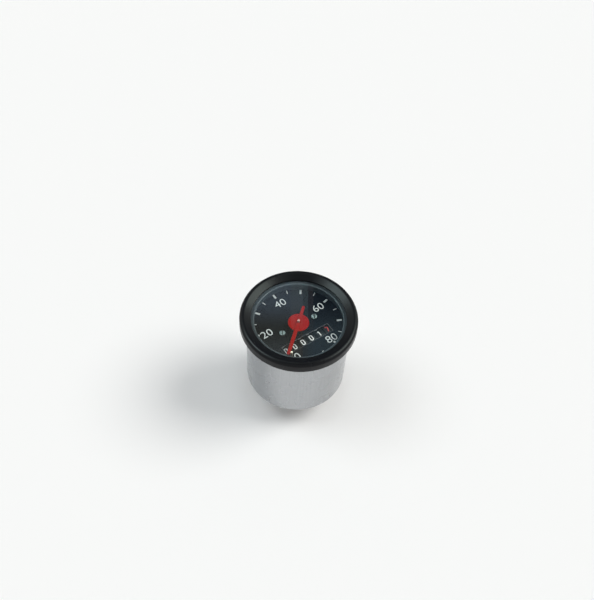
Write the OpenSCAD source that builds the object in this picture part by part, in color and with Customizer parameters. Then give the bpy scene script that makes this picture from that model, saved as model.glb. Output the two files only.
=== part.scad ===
// Round panel speedometer for a small moped: a drag-cup movement turns the pointer, and three
// worm stages turn a six-drum distance counter behind the dial.
// The origin is the centre of the bezel's seat on the panel. +Z points out of the dial,
// +X to the dial's right and +Y to its top. Sizes are in millimetres.

/* [Case] */
// Outer diameter of the drawn steel case
case_d = 48; // [47.6:0.1:49]
// Depth of the case behind the panel face
case_depth = 40; // [36:0.5:44]
// Sheet thickness of the case
case_wall = 0.8; // [0.6:0.05:0.9]
// Radius of the case's rear corner
case_corner_r = 2.5; // [1.5:0.25:4]
// Width of the flange that the bezel is rolled over
case_flange_w = 2.1; // [1.8:0.1:2.4]
// Thickness of that flange
case_flange_t = 0.7; // [0.5:0.1:0.9]

/* [Bezel and glass] */
// Thickness of the bezel's upright wall
bezel_wall = 1.0; // [0.7:0.1:1.3]
// Width of the lip rolled in under the case flange
bezel_crimp_w = 1.1; // [0.7:0.1:1.3]
// Thickness of that rolled lip
bezel_crimp_t = 0.8; // [0.6:0.1:1]
// Radius of the bezel's rounded foot
bezel_foot_r = 0.5; // [0.3:0.05:0.7]
// Height of the bezel's crest above the panel
bezel_h = 5.4; // [5.2:0.1:6.2]
// Radius of the bezel's rounded shoulder
bezel_shoulder_r = 1.7; // [1.4:0.05:2]
// Width of the bezel's face from its outer wall to the opening
bezel_face_w = 5.2; // [4.8:0.1:5.6]
// Thickness of the bezel's edge at the opening
bezel_edge_t = 0.6; // [0.4:0.1:0.9]
// Width of the bezel's bearing on the glass
bezel_bearing_w = 0.9; // [0.6:0.1:1.2]
// Bevel on the bezel's inner edge
bezel_ease = 0.15; // [0.1:0.05:0.25]
// Thickness of the glass
glass_t = 1.2; // [0.9:0.1:1.4]
// Thickness of the rubber seal under the glass
seal_t = 0.6; // [0.4:0.1:0.8]
// Width of that seal
seal_w = 2.4; // [1.8:0.1:2.6]
// Wall of the spacer ring between dial and glass
spacer_wall = 1.8; // [1.4:0.1:2]
// Width of the rim turned in at the spacer ring's front edge
spacer_rim_w = 0.9; // [0.6:0.05:1.1]
// Thickness of that rim
spacer_rim_t = 0.6; // [0.4:0.05:0.9]

/* [Dial] */
// Depth of the dial's face below the panel face
dial_sink = 2.7; // [2.4:0.1:3]
// Thickness of the dial
dial_t = 0.5; // [0.4:0.05:0.6]
// Radius of the hole for the pointer spindle
dial_hole_r = 1.5; // [1.2:0.1:2]
// Distance of each dial screw from the centre
dial_screw_x = 8.85; // [8.4:0.05:9.2]
// Head diameter of a dial screw
dial_screw_head_d = 2.7; // [2.4:0.1:3.2]
// Head height of a dial screw
dial_screw_head_h = 0.8; // [0.6:0.1:1]
// Length of a dial screw's shank
dial_screw_len = 3.5; // [3:0.1:4]
// Width of the counter window
window_w = 25.5; // [25:0.1:25.9]
// Height of the counter window
window_h = 4.9; // [4.4:0.1:5.2]
// Distance of the window's middle left of the centre
window_shift = 0.65; // [0.5:0.05:0.8]
// Distance of the window's middle above the counter axle
window_raise = 0.35; // [0.2:0.05:0.5]
// Distance of the stop pin from the centre
stop_pin_at = 17.2; // [16.6:0.1:17.8]
// Radius of the stop pin
stop_pin_r = 0.48; // [0.4:0.02:0.5]
// Height of the stop pin above the dial
stop_pin_h = 2.9; // [2.6:0.1:3.1]

/* [Pointer] */
// Angle of the resting pointer, anticlockwise from the dial's top
pointer_rest = 131.5; // [130:0.1:132]
// Distance of the pointer's tip from the centre
pointer_tip = 18.7; // [18.2:0.1:19.4]
// Distance of the tail's end from the centre
pointer_tail = 9.6; // [9:0.1:10]
// Width of the pointer at its hub
pointer_w = 1.8; // [1.6:0.05:2]
// Width of the pointer at its tip
pointer_tip_w = 1.6; // [1.4:0.05:1.7]
// Width of the pointer's tail at its end
pointer_tail_w = 1.3; // [1.1:0.05:1.6]
// Radius of the pointer's hub disc
pointer_hub_r = 4.9; // [4.5:0.1:5.2]
// Thickness of the hub disc
pointer_disc_t = 0.4; // [0.3:0.05:0.5]
// Thickness of the raised rib
pointer_rib_t = 0.8; // [0.7:0.05:0.9]
// Gap from the dial to the underside of the pointer
pointer_lift = 2.0; // [1.9:0.05:2.1]
// Height of the boss under the hub disc
pointer_boss_h = 0.9; // [0.7:0.05:1]
// Radius of that boss
pointer_boss_r = 1.2; // [1:0.05:1.4]
// Radius of the pointer spindle
spindle_r = 0.6; // [0.5:0.05:0.65]
// Length of the spindle's end that shows above the pointer
spindle_end = 1.1; // [0.8:0.05:1.2]
// Radius of the spindle's lower pivot
pivot_r = 0.3; // [0.25:0.05:0.35]
// Depth of that pivot in the input spindle
pivot_deep = 0.8; // [0.6:0.05:0.9]

/* [Distance counter] */
// Radius of a number drum
drum_r = 6.8; // [6.7:0.05:6.85]
// Distance from one drum to the next
drum_pitch = 4.54; // [4.5:0.01:4.56]
// Width of a drum's rim
drum_rim_w = 3.2; // [3.1:0.05:3.25]
// Wall thickness of a drum's rim
drum_rim_t = 0.9; // [0.7:0.1:1]
// Wall thickness of a drum's web
drum_web_t = 1.0; // [0.8:0.1:1.2]
// Radius of a drum's hub
drum_hub_r = 2.2; // [2:0.1:2.6]
// Gap between the drums and the dial
drum_gap = 0.3; // [0.2:0.05:0.5]
// Distance of the counter axle below the dial's centre
counter_y = 8.9; // [8.85:0.01:8.95]
// Radius of the counter axle
axle_r = 1.0; // [0.8:0.05:1.1]
// Length of an axle's end beyond its side plate
axle_end = 0.8; // [0.6:0.1:1]
// Radius of the axle that carries the pinions
carry_axle_r = 0.7; // [0.6:0.05:0.72]
// Root radius of a carry pinion
pinion_root_r = 1.5; // [1.45:0.01:1.52]
// Half width at the root of the two carry teeth on a drum
carry_tooth_w = 0.5; // [0.46:0.01:0.52]
// Distance of the carry gears' tooth tips in from a drum's rim
carry_tip_in = 0.75; // [0.73:0.01:0.77]
// Thickness of a side plate
side_plate_t = 0.8; // [0.7:0.05:0.9]
// Distance from the carry axle to a side plate's edge
side_plate_rim = 1.65; // [1.4:0.05:1.9]
// Distance from the counter axle to a side plate's inner edge
side_plate_reach = 3.9; // [3.6:0.1:4.2]
// Width of the slanted corners of a side plate
side_plate_slant = 1.4; // [1:0.1:1.8]
// Gap from a side plate's top to the dial
side_plate_gap = 0.8; // [0.5:0.1:1]
// Width of a side plate's foot
plate_foot_w = 4.6; // [4.2:0.1:5]
// Length of the left side plate's foot
plate_foot_l = 3.5; // [3.2:0.1:3.8]
// Distance of a foot's screw from the foot's edge
plate_foot_edge = 1.5; // [1.4:0.05:1.7]
// Distance of the feet's screws behind the counter axle
plate_screw_back = 1.8; // [1.6:0.05:2]
// Gap between the first drum and the left side plate
left_plate_gap = 1.1; // [0.9:0.1:1.3]
// Gap between the counter's wheel and the right side plate
right_plate_gap = 0.6; // [0.5:0.05:0.8]
// Thickness of an axle's snap ring
clip_t = 0.4; // [0.3:0.05:0.5]
// Width of a snap ring round its axle
clip_w = 0.8; // [0.6:0.05:0.9]

/* [Worm train] */
// Module of the first worm stage
first_module = 0.36; // [0.35:0.005:0.37]
// Pitch radius of the first worm
first_worm_r = 2.0; // [1.9:0.05:2.05]
// Module of the second worm stage
second_module = 0.54; // [0.53:0.005:0.545]
// Pitch radius of the second worm
second_worm_r = 2.2; // [2.15:0.01:2.25]
// Module of the third worm stage
third_module = 0.5; // [0.495:0.001:0.503]
// Pitch radius of the third worm
third_worm_r = 1.9; // [1.85:0.01:1.95]
// Radius of the cross and upright shafts
train_shaft_r = 0.75; // [0.65:0.05:0.8]
// Length of a worm's thread
worm_len = 5.0; // [4.8:0.1:5.2]
// Length of the plain ends of the first and third worms
worm_end = 0.5; // [0.4:0.05:0.6]
// Face width of a worm wheel
wheel_w = 1.8; // [1.6:0.1:2]
// Radius of the cross wheel's hub
cross_hub_r = 1.5; // [1.4:0.05:1.6]
// Radius of the upright wheel's hub
upright_hub_r = 1.8; // [1.6:0.05:2]
// Height of a worm wheel's short hub
wheel_hub_h = 0.8; // [0.6:0.05:1]
// Distance of the upright shaft right of the centre
upright_x = 14.8; // [14.75:0.05:14.9]
// Depth of the cross shaft behind the base plate
train_drop = 4.2; // [4.1:0.05:4.4]
// Thickness of the base plate's left and middle lugs
lug_t = 1.5; // [1.2:0.1:1.6]
// Thickness of the right lug
right_lug_t = 1.2; // [1:0.1:1.3]
// Width of each lug
lug_w = 4.0; // [3.6:0.1:4.4]
// Distance of the left lug from the centre
left_lug_at = 5.0; // [4.8:0.1:5.4]
// Gap between the second worm's thread and the middle lug
mid_lug_gap = 3.4; // [3.2:0.1:3.6]
// Gap between the second worm's thread and the right lug
right_lug_gap = 1.5; // [1.3:0.1:1.7]
// Length of the cross shaft's end beyond a lug
shaft_end = 0.4; // [0.3:0.05:0.5]
// Thickness of the strap under the base plate
strap_t = 1.0; // [0.8:0.1:1.1]
// Width of that strap
strap_w = 4.0; // [3.6:0.1:4.4]
// Gap between the strap and the upright wheel
strap_gap = 0.9; // [0.8:0.05:1.1]
// Length of the strap's fixing flange
strap_flange = 3.2; // [3:0.1:3.6]
// Thickness of the upright shaft's foot bearing
foot_t = 1.2; // [1:0.1:1.3]
// Distance of that bearing behind the cross shaft
foot_drop = 2.4; // [2.3:0.05:2.5]
// Thickness of the upright shaft's top bearing
tab_t = 1.0; // [0.8:0.1:1.1]
// Gap between the third worm and that bearing
tab_gap = 0.8; // [0.7:0.05:1]
// Half width of that bearing
tab_half = 1.7; // [1.5:0.1:1.9]

/* [Drag cup and magnet] */
// Outer radius of the drag cup
cup_r = 8.0; // [7.8:0.1:8.2]
// Wall of the drag cup
cup_wall = 0.4; // [0.3:0.05:0.5]
// Height of the drag cup
cup_h = 5.5; // [5.3:0.1:5.7]
// Thickness of the drag cup's floor
cup_floor_t = 0.5; // [0.4:0.05:0.6]
// Gap between the drag cup's rim and the base plate
cup_rim_gap = 0.5; // [0.4:0.05:0.6]
// Radius of the boss on the drag cup
cup_boss_r = 1.2; // [1:0.05:1.3]
// Height of that boss
cup_boss_h = 0.8; // [0.6:0.05:0.9]
// Radius of the magnet
magnet_r = 6.9; // [6.6:0.1:7.1]
// Thickness of the magnet
magnet_t = 4.0; // [3.8:0.1:4.2]
// Radius of the magnet's bore
magnet_bore_r = 2.5; // [2.3:0.1:2.7]
// Gap between the magnet and the drag cup's floor
magnet_gap = 0.6; // [0.5:0.05:0.7]
// Width of the magnet hub's flange
hub_flange_w = 1.5; // [1.2:0.1:1.8]
// Thickness of that flange
hub_flange_t = 0.3; // [0.2:0.05:0.4]
// Inner radius of the flux return ring
flux_in_r = 8.6; // [8.5:0.05:8.8]
// Wall of the flux return ring
flux_wall = 1.2; // [0.9:0.1:1.4]
// Distance from the flux return ring's top to the drag cup's top
flux_low = 0.8; // [0.6:0.1:1.2]
// Radius of the hairspring's collet
collet_r = 1.5; // [1.3:0.05:1.6]
// Height of the collet
collet_h = 0.8; // [0.6:0.05:1]
// Outer radius of the hairspring
hair_r = 5.8; // [5.4:0.1:6]
// Number of turns in the hairspring
hair_turns = 5; // [4:1:6]
// Thickness of the hairspring's strip
hair_t = 0.14; // [0.12:0.01:0.16]
// Width of the hairspring's strip
hair_w = 0.5; // [0.4:0.05:0.6]
// Radius of the stud that holds the hairspring's outer end
stud_pin_r = 0.5; // [0.4:0.05:0.6]

/* [Frame] */
// Gap between the base plate's rim and the case
plate_rim_gap = 1.7; // [1.2:0.1:1.9]
// Thickness of the base plate
plate_t = 1.2; // [1:0.1:1.3]
// Room behind the base plate for the worm train
train_room = 9.2; // [9.1:0.05:9.6]
// Thickness of the bridge
bridge_t = 1.0; // [0.9:0.1:1.1]
// Width of the bridge's arms
bridge_arm_w = 4.2; // [4:0.1:4.6]
// Half width of the bridge's middle
bridge_half = 10.6; // [10.4:0.1:10.8]
// Distance of the bridge's rear edge behind the upright shaft
bridge_edge = 0.3; // [0.2:0.05:0.4]
// Length of a bridge post
post_len = 9.4; // [9.3:0.05:9.6]
// Distance of a bridge post from the centre line
post_x = 15.5; // [15:0.1:16]
// Distance of the bridge posts above the centre
post_y = 8; // [7.8:0.1:8.4]
// Radius of a bridge post
post_r = 2.0; // [1.8:0.1:2.2]
// Radius of a dial pillar
dial_pillar_r = 1.5; // [1.4:0.1:1.6]
// Radius of the spigots riveted in the plates
spigot_pin_r = 1.0; // [0.9:0.05:1.1]
// Radius of a pillar between base plate and case
pillar_r = 2.0; // [1.8:0.1:2.2]
// Distance of those pillars in from the case's wall
pillar_in = 5.2; // [4.8:0.1:5.6]
// Shank radius of the movement's screws
small_screw_r = 0.95; // [0.85:0.05:0.95]
// Shank length of the bridge's screws
small_screw_len = 4.0; // [3.6:0.1:4.4]
// Head radius of the bridge's screws
small_head_r = 1.6; // [1.5:0.05:1.8]
// Head radius of the side plates' screws
foot_head_r = 1.4; // [1.3:0.05:1.5]
// Head height of the movement's screws
small_head_h = 1.0; // [0.8:0.1:1.1]
// Shank radius of the case's screws
frame_screw_r = 1.25; // [1.15:0.05:1.35]
// Head radius of the case's screws
frame_head_r = 2.2; // [2:0.1:2.4]
// Head height of the case's screws
frame_head_h = 1.2; // [1:0.1:1.4]
// Width of a screw's slot
slot_w = 0.45; // [0.4:0.05:0.5]
// Depth of a screw's slot
slot_deep = 0.35; // [0.3:0.05:0.4]

/* [Rear mounting] */
// Outer diameter of the drive neck
neck_d = 10; // [9:0.5:11]
// Length of the drive neck behind the case
neck_len = 12; // [11:0.5:14]
// Bevel at the neck's mouth
neck_ease = 0.5; // [0.3:0.1:0.8]
// Radius of the ferrule bore in the neck's mouth
ferrule_r = 3.3; // [3.1:0.05:3.5]
// Depth of that bore
ferrule_depth = 4.0; // [3.5:0.25:5]
// Radius of the neck's collar
collar_r = 7.0; // [6.5:0.25:8]
// Thickness of the neck's collar
collar_t = 1.2; // [1:0.1:1.6]
// Radius of the neck's spigot through the case
spigot_r = 4.0; // [3.8:0.1:4.2]
// Height of that spigot above the case's floor
spigot_rise = 0.8; // [0.6:0.1:1]
// Wall of the neck's bush
bush_wall = 0.65; // [0.5:0.05:0.75]
// Distance of the bush in from the ferrule bore
bush_in = 0.2; // [0.1:0.05:0.4]
// Thickness of the thrust washer
washer_t = 0.5; // [0.4:0.05:0.6]
// Width of the thrust washer's seat left free at its rim
washer_rim = 0.8; // [0.6:0.1:1]
// Radius of the input spindle's shoulder
shoulder_r = 2.5; // [2.3:0.1:2.8]
// Thickness of that shoulder
shoulder_t = 0.6; // [0.5:0.05:0.7]
// Radius of the lower half of the input spindle
input_r = 2.0; // [1.8:0.05:2.2]
// Distance of the input spindle's end in from the neck's mouth
input_in = 5.0; // [4.5:0.25:6]
// Width of the square socket for the drive cable
socket_w = 2.1; // [2:0.05:2.3]
// Depth of that socket
socket_depth = 9.0; // [8:0.5:10]
// Radius of the input spindle's upper half
input_front_r = 1.0; // [0.9:0.05:1.05]
// Length of the input spindle beyond the magnet
input_end = 0.2; // [0.1:0.05:0.3]
// Wall of the base plate's bush
frame_bush_wall = 1.1; // [0.9:0.1:1.2]
// Width of that bush's flange
frame_bush_rim = 0.8; // [0.6:0.1:1]
// Thickness of that flange
frame_bush_t = 0.6; // [0.5:0.05:0.7]
// Distance of each mounting stud from the centre
stud_x = 15; // [14.5:0.5:16]
// Radius of a mounting stud
stud_r = 2.0; // [1.5:0.5:2.5]
// Length of a mounting stud behind the case
stud_len = 12; // [8:1:16]
// Width of the knurled neck with which a stud is pressed in the case
stud_neck_w = 0.2; // [0.1:0.05:0.3]
// Width of a stud's head round its shank
stud_head_w = 1.2; // [1:0.1:1.4]
// Thickness of a stud's head
stud_head_t = 0.8; // [0.6:0.1:1]

/* [Fits] */
// Running clearance on the radius of a shaft in its bearing
run_gap = 0.05; // [0.03:0.01:0.08]
// Gap on the radius between pieces laid one in the other
lay_gap = 0.1; // [0.08:0.01:0.15]
// End gap between pieces that turn side by side
side_gap = 0.1; // [0.08:0.01:0.12]
// Gap between the resting pointer and its stop pin
stop_gap = 0.02; // [0.01:0.01:0.04]
// Part of a worm tooth's full thickness that is left
tooth_fill = 0.8; // [0.75:0.01:0.82]

/* [Hidden] */

// Depth by which the shapes of one piece run into each other, and by which cuts stand out
join = 0.1;
through = 1;
long_cut = 4 * case_depth;

// Front end: the heights stack up from the bezel's rolled lip to the glass
case_r = case_d / 2;
case_in_r = case_r - case_wall;
flange_r = case_r + case_flange_w;
flange_top = bezel_crimp_t + case_flange_t;
glass_z = flange_top + seal_t;
glass_top = glass_z + glass_t;
bezel_in_r = flange_r + lay_gap;
bezel_r = bezel_in_r + bezel_wall;
bezel_open_r = bezel_r - bezel_face_w;
glass_r = flange_r - lay_gap;
spacer_r = case_in_r - lay_gap;
dial_z = -dial_sink;
dial_under = dial_z - dial_t;
case_back = -case_depth;
case_floor = case_back + case_wall;

// Movement: the plates stand on the case's floor
plate_r = case_in_r - plate_rim_gap;
plate_under = case_floor + train_room;
plate_top = plate_under + plate_t;
bridge_under = plate_top + post_len;
bridge_top = bridge_under + bridge_t;
pillar_at = case_in_r - pillar_in;
pillar_angles = [90, 210, 300];

// Counter: the drums stand just behind the window
counter_z = dial_under - drum_gap - drum_r;
drum_count = 6;
drum_middle_x = -window_shift;
tenths_x = drum_middle_x + drum_pitch * (drum_count - 1) / 2;
reading = [0, 0, 0, 0, 1, 7];
figure_turn = 36;
gear_teeth = 20;
pinion_teeth = 8;
carry_module = (drum_r - carry_tip_in) / (gear_teeth / 2 + 1);
gear_pitch_r = carry_module * gear_teeth / 2;
pinion_pitch_r = carry_module * pinion_teeth / 2;
carry_root_r = gear_pitch_r - 1.27 * carry_module;
carry_lean = 30;
carry_reach = gear_pitch_r + pinion_pitch_r;
carry_y = -counter_y - carry_reach * sin(carry_lean);
carry_z = counter_z - carry_reach * cos(carry_lean);
rim_gap = drum_pitch - drum_rim_w;
track_w = (rim_gap - 2 * side_gap) / 2;
gear_phase = 15;
carry_at = 132;

// Worm train: every stage has a double-start worm and a 20-tooth wheel
worm_starts = 2;
wheel_teeth = 20;
train_z = plate_under - train_drop;
first_wheel_r = first_module * wheel_teeth / 2;
second_wheel_r = second_module * wheel_teeth / 2;
third_wheel_r = third_module * wheel_teeth / 2;
cross_y = first_worm_r + first_wheel_r;
upright_y = cross_y - second_worm_r - second_wheel_r;
mid_lug_x = upright_x - worm_len / 2 - mid_lug_gap;
right_lug_x = upright_x + worm_len / 2 + right_lug_gap;
foot_top = train_z - foot_drop;
strap_y = upright_y - second_wheel_r - second_module - strap_gap;
tab_z = counter_z + worm_len / 2 + tab_gap;
left_plate_x = drum_middle_x - drum_pitch * (drum_count - 1) / 2 - drum_rim_w / 2 - left_plate_gap;
right_plate_x = upright_x + wheel_w / 2 + right_plate_gap;
plate_screw_y = -counter_y - plate_screw_back;
left_screw_x = left_plate_x + foot_head_r + 2 * lay_gap;

// Drag cup and magnet
cup_top = plate_top + cup_rim_gap + cup_h;
magnet_top = cup_top - cup_floor_t - magnet_gap;
magnet_z = magnet_top - magnet_t;
collet_z = cup_top + cup_boss_h;
hair_mid = collet_z + collet_h / 2;

// Input: the spindle's shoulder runs on a washer on the neck's bush
neck_r = neck_d / 2;
neck_back = case_back - neck_len;
neck_bush_r = input_r + run_gap + bush_wall;
spigot_top = case_floor + spigot_rise;
shoulder_z = spigot_top + washer_t + run_gap;
input_back = neck_back + input_in;
input_top = magnet_top + input_end;
frame_bush_r = input_front_r + run_gap + frame_bush_wall;
pointer_z = dial_z + pointer_lift;

// Points on an arc about a centre, from one angle to another
function arc(cx, cy, r, from, to, steps) =
    [for (i = [0 : steps]) let (a = from + (to - from) * i / steps) [cx + r * cos(a), cy + r * sin(a)]];

// Outline of a gear with straight flanks, with a tooth at angle zero
function gear_points(teeth, root_r, pitch_r, tip_r, root_half, pitch_half, tip_half) =
    [for (i = [0 : teeth - 1], p = [
        [root_r, -root_half], [pitch_r, -pitch_half], [tip_r, -tip_half],
        [tip_r, tip_half], [pitch_r, pitch_half], [root_r, root_half]
    ]) let (a = 360 * i / teeth + p[1]) [p[0] * cos(a), p[0] * sin(a)]];

// Section of a double-start worm across its axis, with a thread at angle zero
function worm_points(pitch_r, module_size) =
    let (
        pitch_half = 45 * tooth_fill,
        tip_half = pitch_half - 16.7,
        root_half = pitch_half + 25,
        tip_r = pitch_r + 0.8 * module_size,
        root_r = pitch_r - 1.2 * module_size
    )
    [for (i = [0 : worm_starts - 1], p = [
        [root_r, -root_half], [pitch_r, -pitch_half], [tip_r, -tip_half], [tip_r, 0],
        [tip_r, tip_half], [pitch_r, pitch_half], [root_r, root_half], [root_r, 90]
    ]) let (a = 360 * i / worm_starts + p[1]) [p[0] * cos(a), p[0] * sin(a)]];

// Thread of a worm along Z, centred on the origin; hand is 1 for right, -1 for left
module worm_thread(pitch_r, module_size, hand) {
    lead = worm_starts * PI * module_size;
    turn = hand * 360 * worm_len / lead;
    translate([0, 0, -worm_len / 2])
        linear_extrude(height = worm_len, twist = -turn, slices = round(abs(turn) / 16))
            rotate(-turn / 2)
                polygon(worm_points(pitch_r, module_size));
}

// Worm with plain ends a little over its root, bored for its shaft
module worm(pitch_r, module_size, hand, bore_r, low_end, high_end) {
    end_r = pitch_r - 0.9 * module_size;
    difference() {
        union() {
            worm_thread(pitch_r, module_size, hand);
            translate([0, 0, -worm_len / 2 - low_end])
                cylinder(h = low_end + 2 * join, r = end_r, $fn = 48);
            translate([0, 0, worm_len / 2 - 2 * join])
                cylinder(h = high_end + 2 * join, r = end_r, $fn = 48);
        }
        cylinder(h = long_cut, r = bore_r, center = true, $fn = 48);
    }
}

// Helical wheel along Z, centred on the origin, to mesh with such a worm
module worm_wheel(pitch_r, module_size, worm_r, hand, bore_r, hub_r, low_hub, high_hub) {
    turn = hand * wheel_w * module_size / worm_r / pitch_r * 180 / PI;
    points = gear_points(
        wheel_teeth, pitch_r - 1.25 * module_size, pitch_r, pitch_r + 0.8 * module_size,
        360 / wheel_teeth * 0.36, 360 / wheel_teeth * 0.2, 360 / wheel_teeth * 0.1
    );
    difference() {
        union() {
            translate([0, 0, -wheel_w / 2])
                linear_extrude(height = wheel_w, twist = -turn, slices = 2)
                    rotate(-turn / 2)
                        polygon(points);
            translate([0, 0, -wheel_w / 2 - low_hub])
                cylinder(h = wheel_w + low_hub + high_hub, r = hub_r, $fn = 48);
        }
        cylinder(h = long_cut, r = bore_r, center = true, $fn = 48);
    }
}

// Slotted cheese-head screw with its head's seat at the origin and its shank down -Z
module slotted_screw(head_r, head_h, shank_r, shank_len, slot_angle) {
    difference() {
        union() {
            cylinder(h = head_h, r = head_r, $fn = 48);
            translate([0, 0, -shank_len])
                cylinder(h = shank_len + join, r = shank_r, $fn = 48);
        }
        rotate(slot_angle)
            translate([-head_r - through, -slot_w / 2, head_h - slot_deep])
                cube([2 * (head_r + through), slot_w, slot_deep + through]);
    }
}

// Turn a shape made along Z so that it lies along X
module along_x() {
    rotate([0, 90, 0]) children();
}

// Copy a shape to the three pillars that hold the movement in the case
module at_pillars() {
    for (angle = pillar_angles)
        translate([pillar_at * cos(angle), pillar_at * sin(angle), 0]) children();
}

// Copy a shape to the right and to the left of the centre
module left_and_right(x) {
    for (side = [-1, 1])
        translate([side * x, 0, 0]) children();
}

// Bezel of formed sheet, rolled in under the case flange
module bezel() {
    crest_r = bezel_r - bezel_shoulder_r;
    crest_z = bezel_h - bezel_shoulder_r;
    face_lean = 117;
    lip_top = glass_top + bezel_edge_t;
    color([0.045, 0.045, 0.05])
        rotate_extrude($fn = 128)
            polygon(concat(
                [[bezel_in_r - bezel_crimp_w, 0]],
                arc(bezel_r - bezel_foot_r, bezel_foot_r, bezel_foot_r, -90, 0, 5),
                arc(crest_r, crest_z, bezel_shoulder_r, 0, face_lean, 14),
                [
                    [bezel_open_r + bezel_ease, lip_top], [bezel_open_r, lip_top - bezel_ease],
                    [bezel_open_r, glass_top], [bezel_open_r + bezel_bearing_w, glass_top]
                ],
                arc(crest_r, crest_z, bezel_shoulder_r - bezel_wall, face_lean, 0, 8),
                [[bezel_in_r, bezel_crimp_t], [bezel_in_r - bezel_crimp_w, bezel_crimp_t]]
            ));
}

module glass() {
    color([0.85, 0.92, 0.95, 0.3])
        translate([0, 0, glass_z])
            cylinder(h = glass_t, r = glass_r, $fn = 128);
}

module glass_seal() {
    color([0.08, 0.08, 0.08])
        translate([0, 0, flange_top])
            difference() {
                cylinder(h = seal_t, r = glass_r, $fn = 128);
                translate([0, 0, -through])
                    cylinder(h = seal_t + 2 * through, r = glass_r - seal_w, $fn = 128);
            }
}

// Ring that holds the dial off the glass, with a rim turned in under the glass
module spacer_ring() {
    inner_r = spacer_r - spacer_wall;
    rim_r = inner_r - spacer_rim_w;
    rim_z = glass_z - spacer_rim_t;
    color([0.55, 0.56, 0.57])
        rotate_extrude($fn = 128)
            polygon([
                [inner_r, dial_z], [spacer_r, dial_z], [spacer_r, glass_z],
                [rim_r, glass_z], [rim_r, rim_z], [inner_r, rim_z]
            ]);
}

module dial() {
    color([0.05, 0.05, 0.055])
        difference() {
            translate([0, 0, dial_under])
                cylinder(h = dial_t, r = spacer_r, $fn = 128);
            cylinder(h = long_cut, r = dial_hole_r, center = true, $fn = 48);
            left_and_right(dial_screw_x)
                cylinder(h = long_cut, r = small_screw_r, center = true, $fn = 48);
            rotate(stop_angle())
                translate([0, stop_pin_at, 0])
                    cylinder(h = long_cut, r = stop_pin_r, center = true, $fn = 48);
            translate([drum_middle_x, window_raise - counter_y, 0])
                cube([window_w, window_h, long_cut], center = true);
        }
}

// Angle of the stop pin: the resting pointer's edge just clears it
function stop_angle() =
    pointer_rest + asin((stop_pin_r + edge_half() + stop_gap) / stop_pin_at);

// Half width of the pointer's rib where the pin touches it
function edge_half() =
    (pointer_w + (pointer_tip_w - pointer_w) * stop_pin_at / pointer_tip) / 2;

module dial_screws() {
    color([0.75, 0.75, 0.74])
        left_and_right(dial_screw_x)
            translate([0, 0, dial_z])
                slotted_screw(
                    dial_screw_head_d / 2, dial_screw_head_h, small_screw_r, dial_screw_len, 62
                );
}

module stop_pin() {
    color([0.78, 0.68, 0.42])
        rotate(stop_angle())
            translate([0, stop_pin_at, dial_under])
                cylinder(h = dial_t + stop_pin_h, r = stop_pin_r, $fn = 48);
}

// Drawn case: a cup with a rounded rear corner and a flange bent out at its mouth
module case() {
    bend_r = bezel_crimp_t;
    in_corner_r = case_corner_r - case_wall;
    corner_x = case_r - case_corner_r;
    corner_z = case_back + case_corner_r;
    color([0.72, 0.73, 0.74])
        difference() {
            rotate_extrude($fn = 128)
                polygon(concat(
                    [[spigot_r, case_back]],
                    arc(corner_x, corner_z, case_corner_r, -90, 0, 8),
                    arc(case_r + bend_r, 0, bend_r, 180, 90, 5),
                    [[flange_r, bezel_crimp_t], [flange_r, flange_top], [case_in_r, flange_top]],
                    arc(corner_x, corner_z, in_corner_r, 0, -90, 8),
                    [[spigot_r, case_floor]]
                ));
            left_and_right(stud_x)
                translate([0, 0, case_back - through])
                    cylinder(h = case_wall + 2 * through, r = stud_r + stud_neck_w, $fn = 48);
            at_pillars()
                translate([0, 0, case_back - through])
                    cylinder(h = case_wall + 2 * through, r = frame_screw_r, $fn = 48);
        }
}

// Mounting studs, each with a flat head inside the case
module case_studs() {
    color([0.7, 0.71, 0.72])
        left_and_right(stud_x) {
            translate([0, 0, case_back - stud_len])
                cylinder(h = stud_len + join, r = stud_r, $fn = 64);
            translate([0, 0, case_back])
                cylinder(h = case_wall, r = stud_r + stud_neck_w, $fn = 64);
            translate([0, 0, case_floor])
                cylinder(h = stud_head_t, r = stud_r + stud_head_w, $fn = 64);
        }
}

// Drive neck: a turned tube with a collar outside the case and a spigot through its floor
module neck() {
    color([0.78, 0.7, 0.45])
        rotate_extrude($fn = 96)
            polygon([
                [ferrule_r, neck_back], [neck_r - neck_ease, neck_back],
                [neck_r, neck_back + neck_ease],
                [neck_r, case_back - collar_t], [collar_r, case_back - collar_t],
                [collar_r, case_back], [spigot_r, case_back], [spigot_r, spigot_top],
                [neck_bush_r, spigot_top], [neck_bush_r, neck_back + ferrule_depth],
                [ferrule_r, neck_back + ferrule_depth]
            ]);
}

module neck_bush() {
    low = neck_back + ferrule_depth + bush_in;
    color([0.6, 0.45, 0.28])
        translate([0, 0, low])
            difference() {
                cylinder(h = spigot_top - low, r = neck_bush_r, $fn = 64);
                cylinder(h = long_cut, r = input_r + run_gap, center = true, $fn = 64);
            }
}

// Screws from behind the case into the movement's pillars
module frame_screws() {
    color([0.7, 0.71, 0.72])
        at_pillars()
            translate([0, 0, case_back])
                rotate([180, 0, 0])
                    slotted_screw(
                        frame_head_r, frame_head_h, frame_screw_r, case_wall + small_screw_len, 30
                    );
}

module frame_pillars() {
    color([0.72, 0.73, 0.74])
        at_pillars()
            difference() {
                union() {
                    translate([0, 0, case_floor])
                        cylinder(h = plate_under - case_floor, r = pillar_r, $fn = 48);
                    translate([0, 0, plate_under])
                        cylinder(h = plate_t, r = spigot_pin_r, $fn = 48);
                }
                translate([0, 0, case_floor - through])
                    cylinder(h = small_screw_len + through, r = frame_screw_r, $fn = 48);
            }
}

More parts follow.
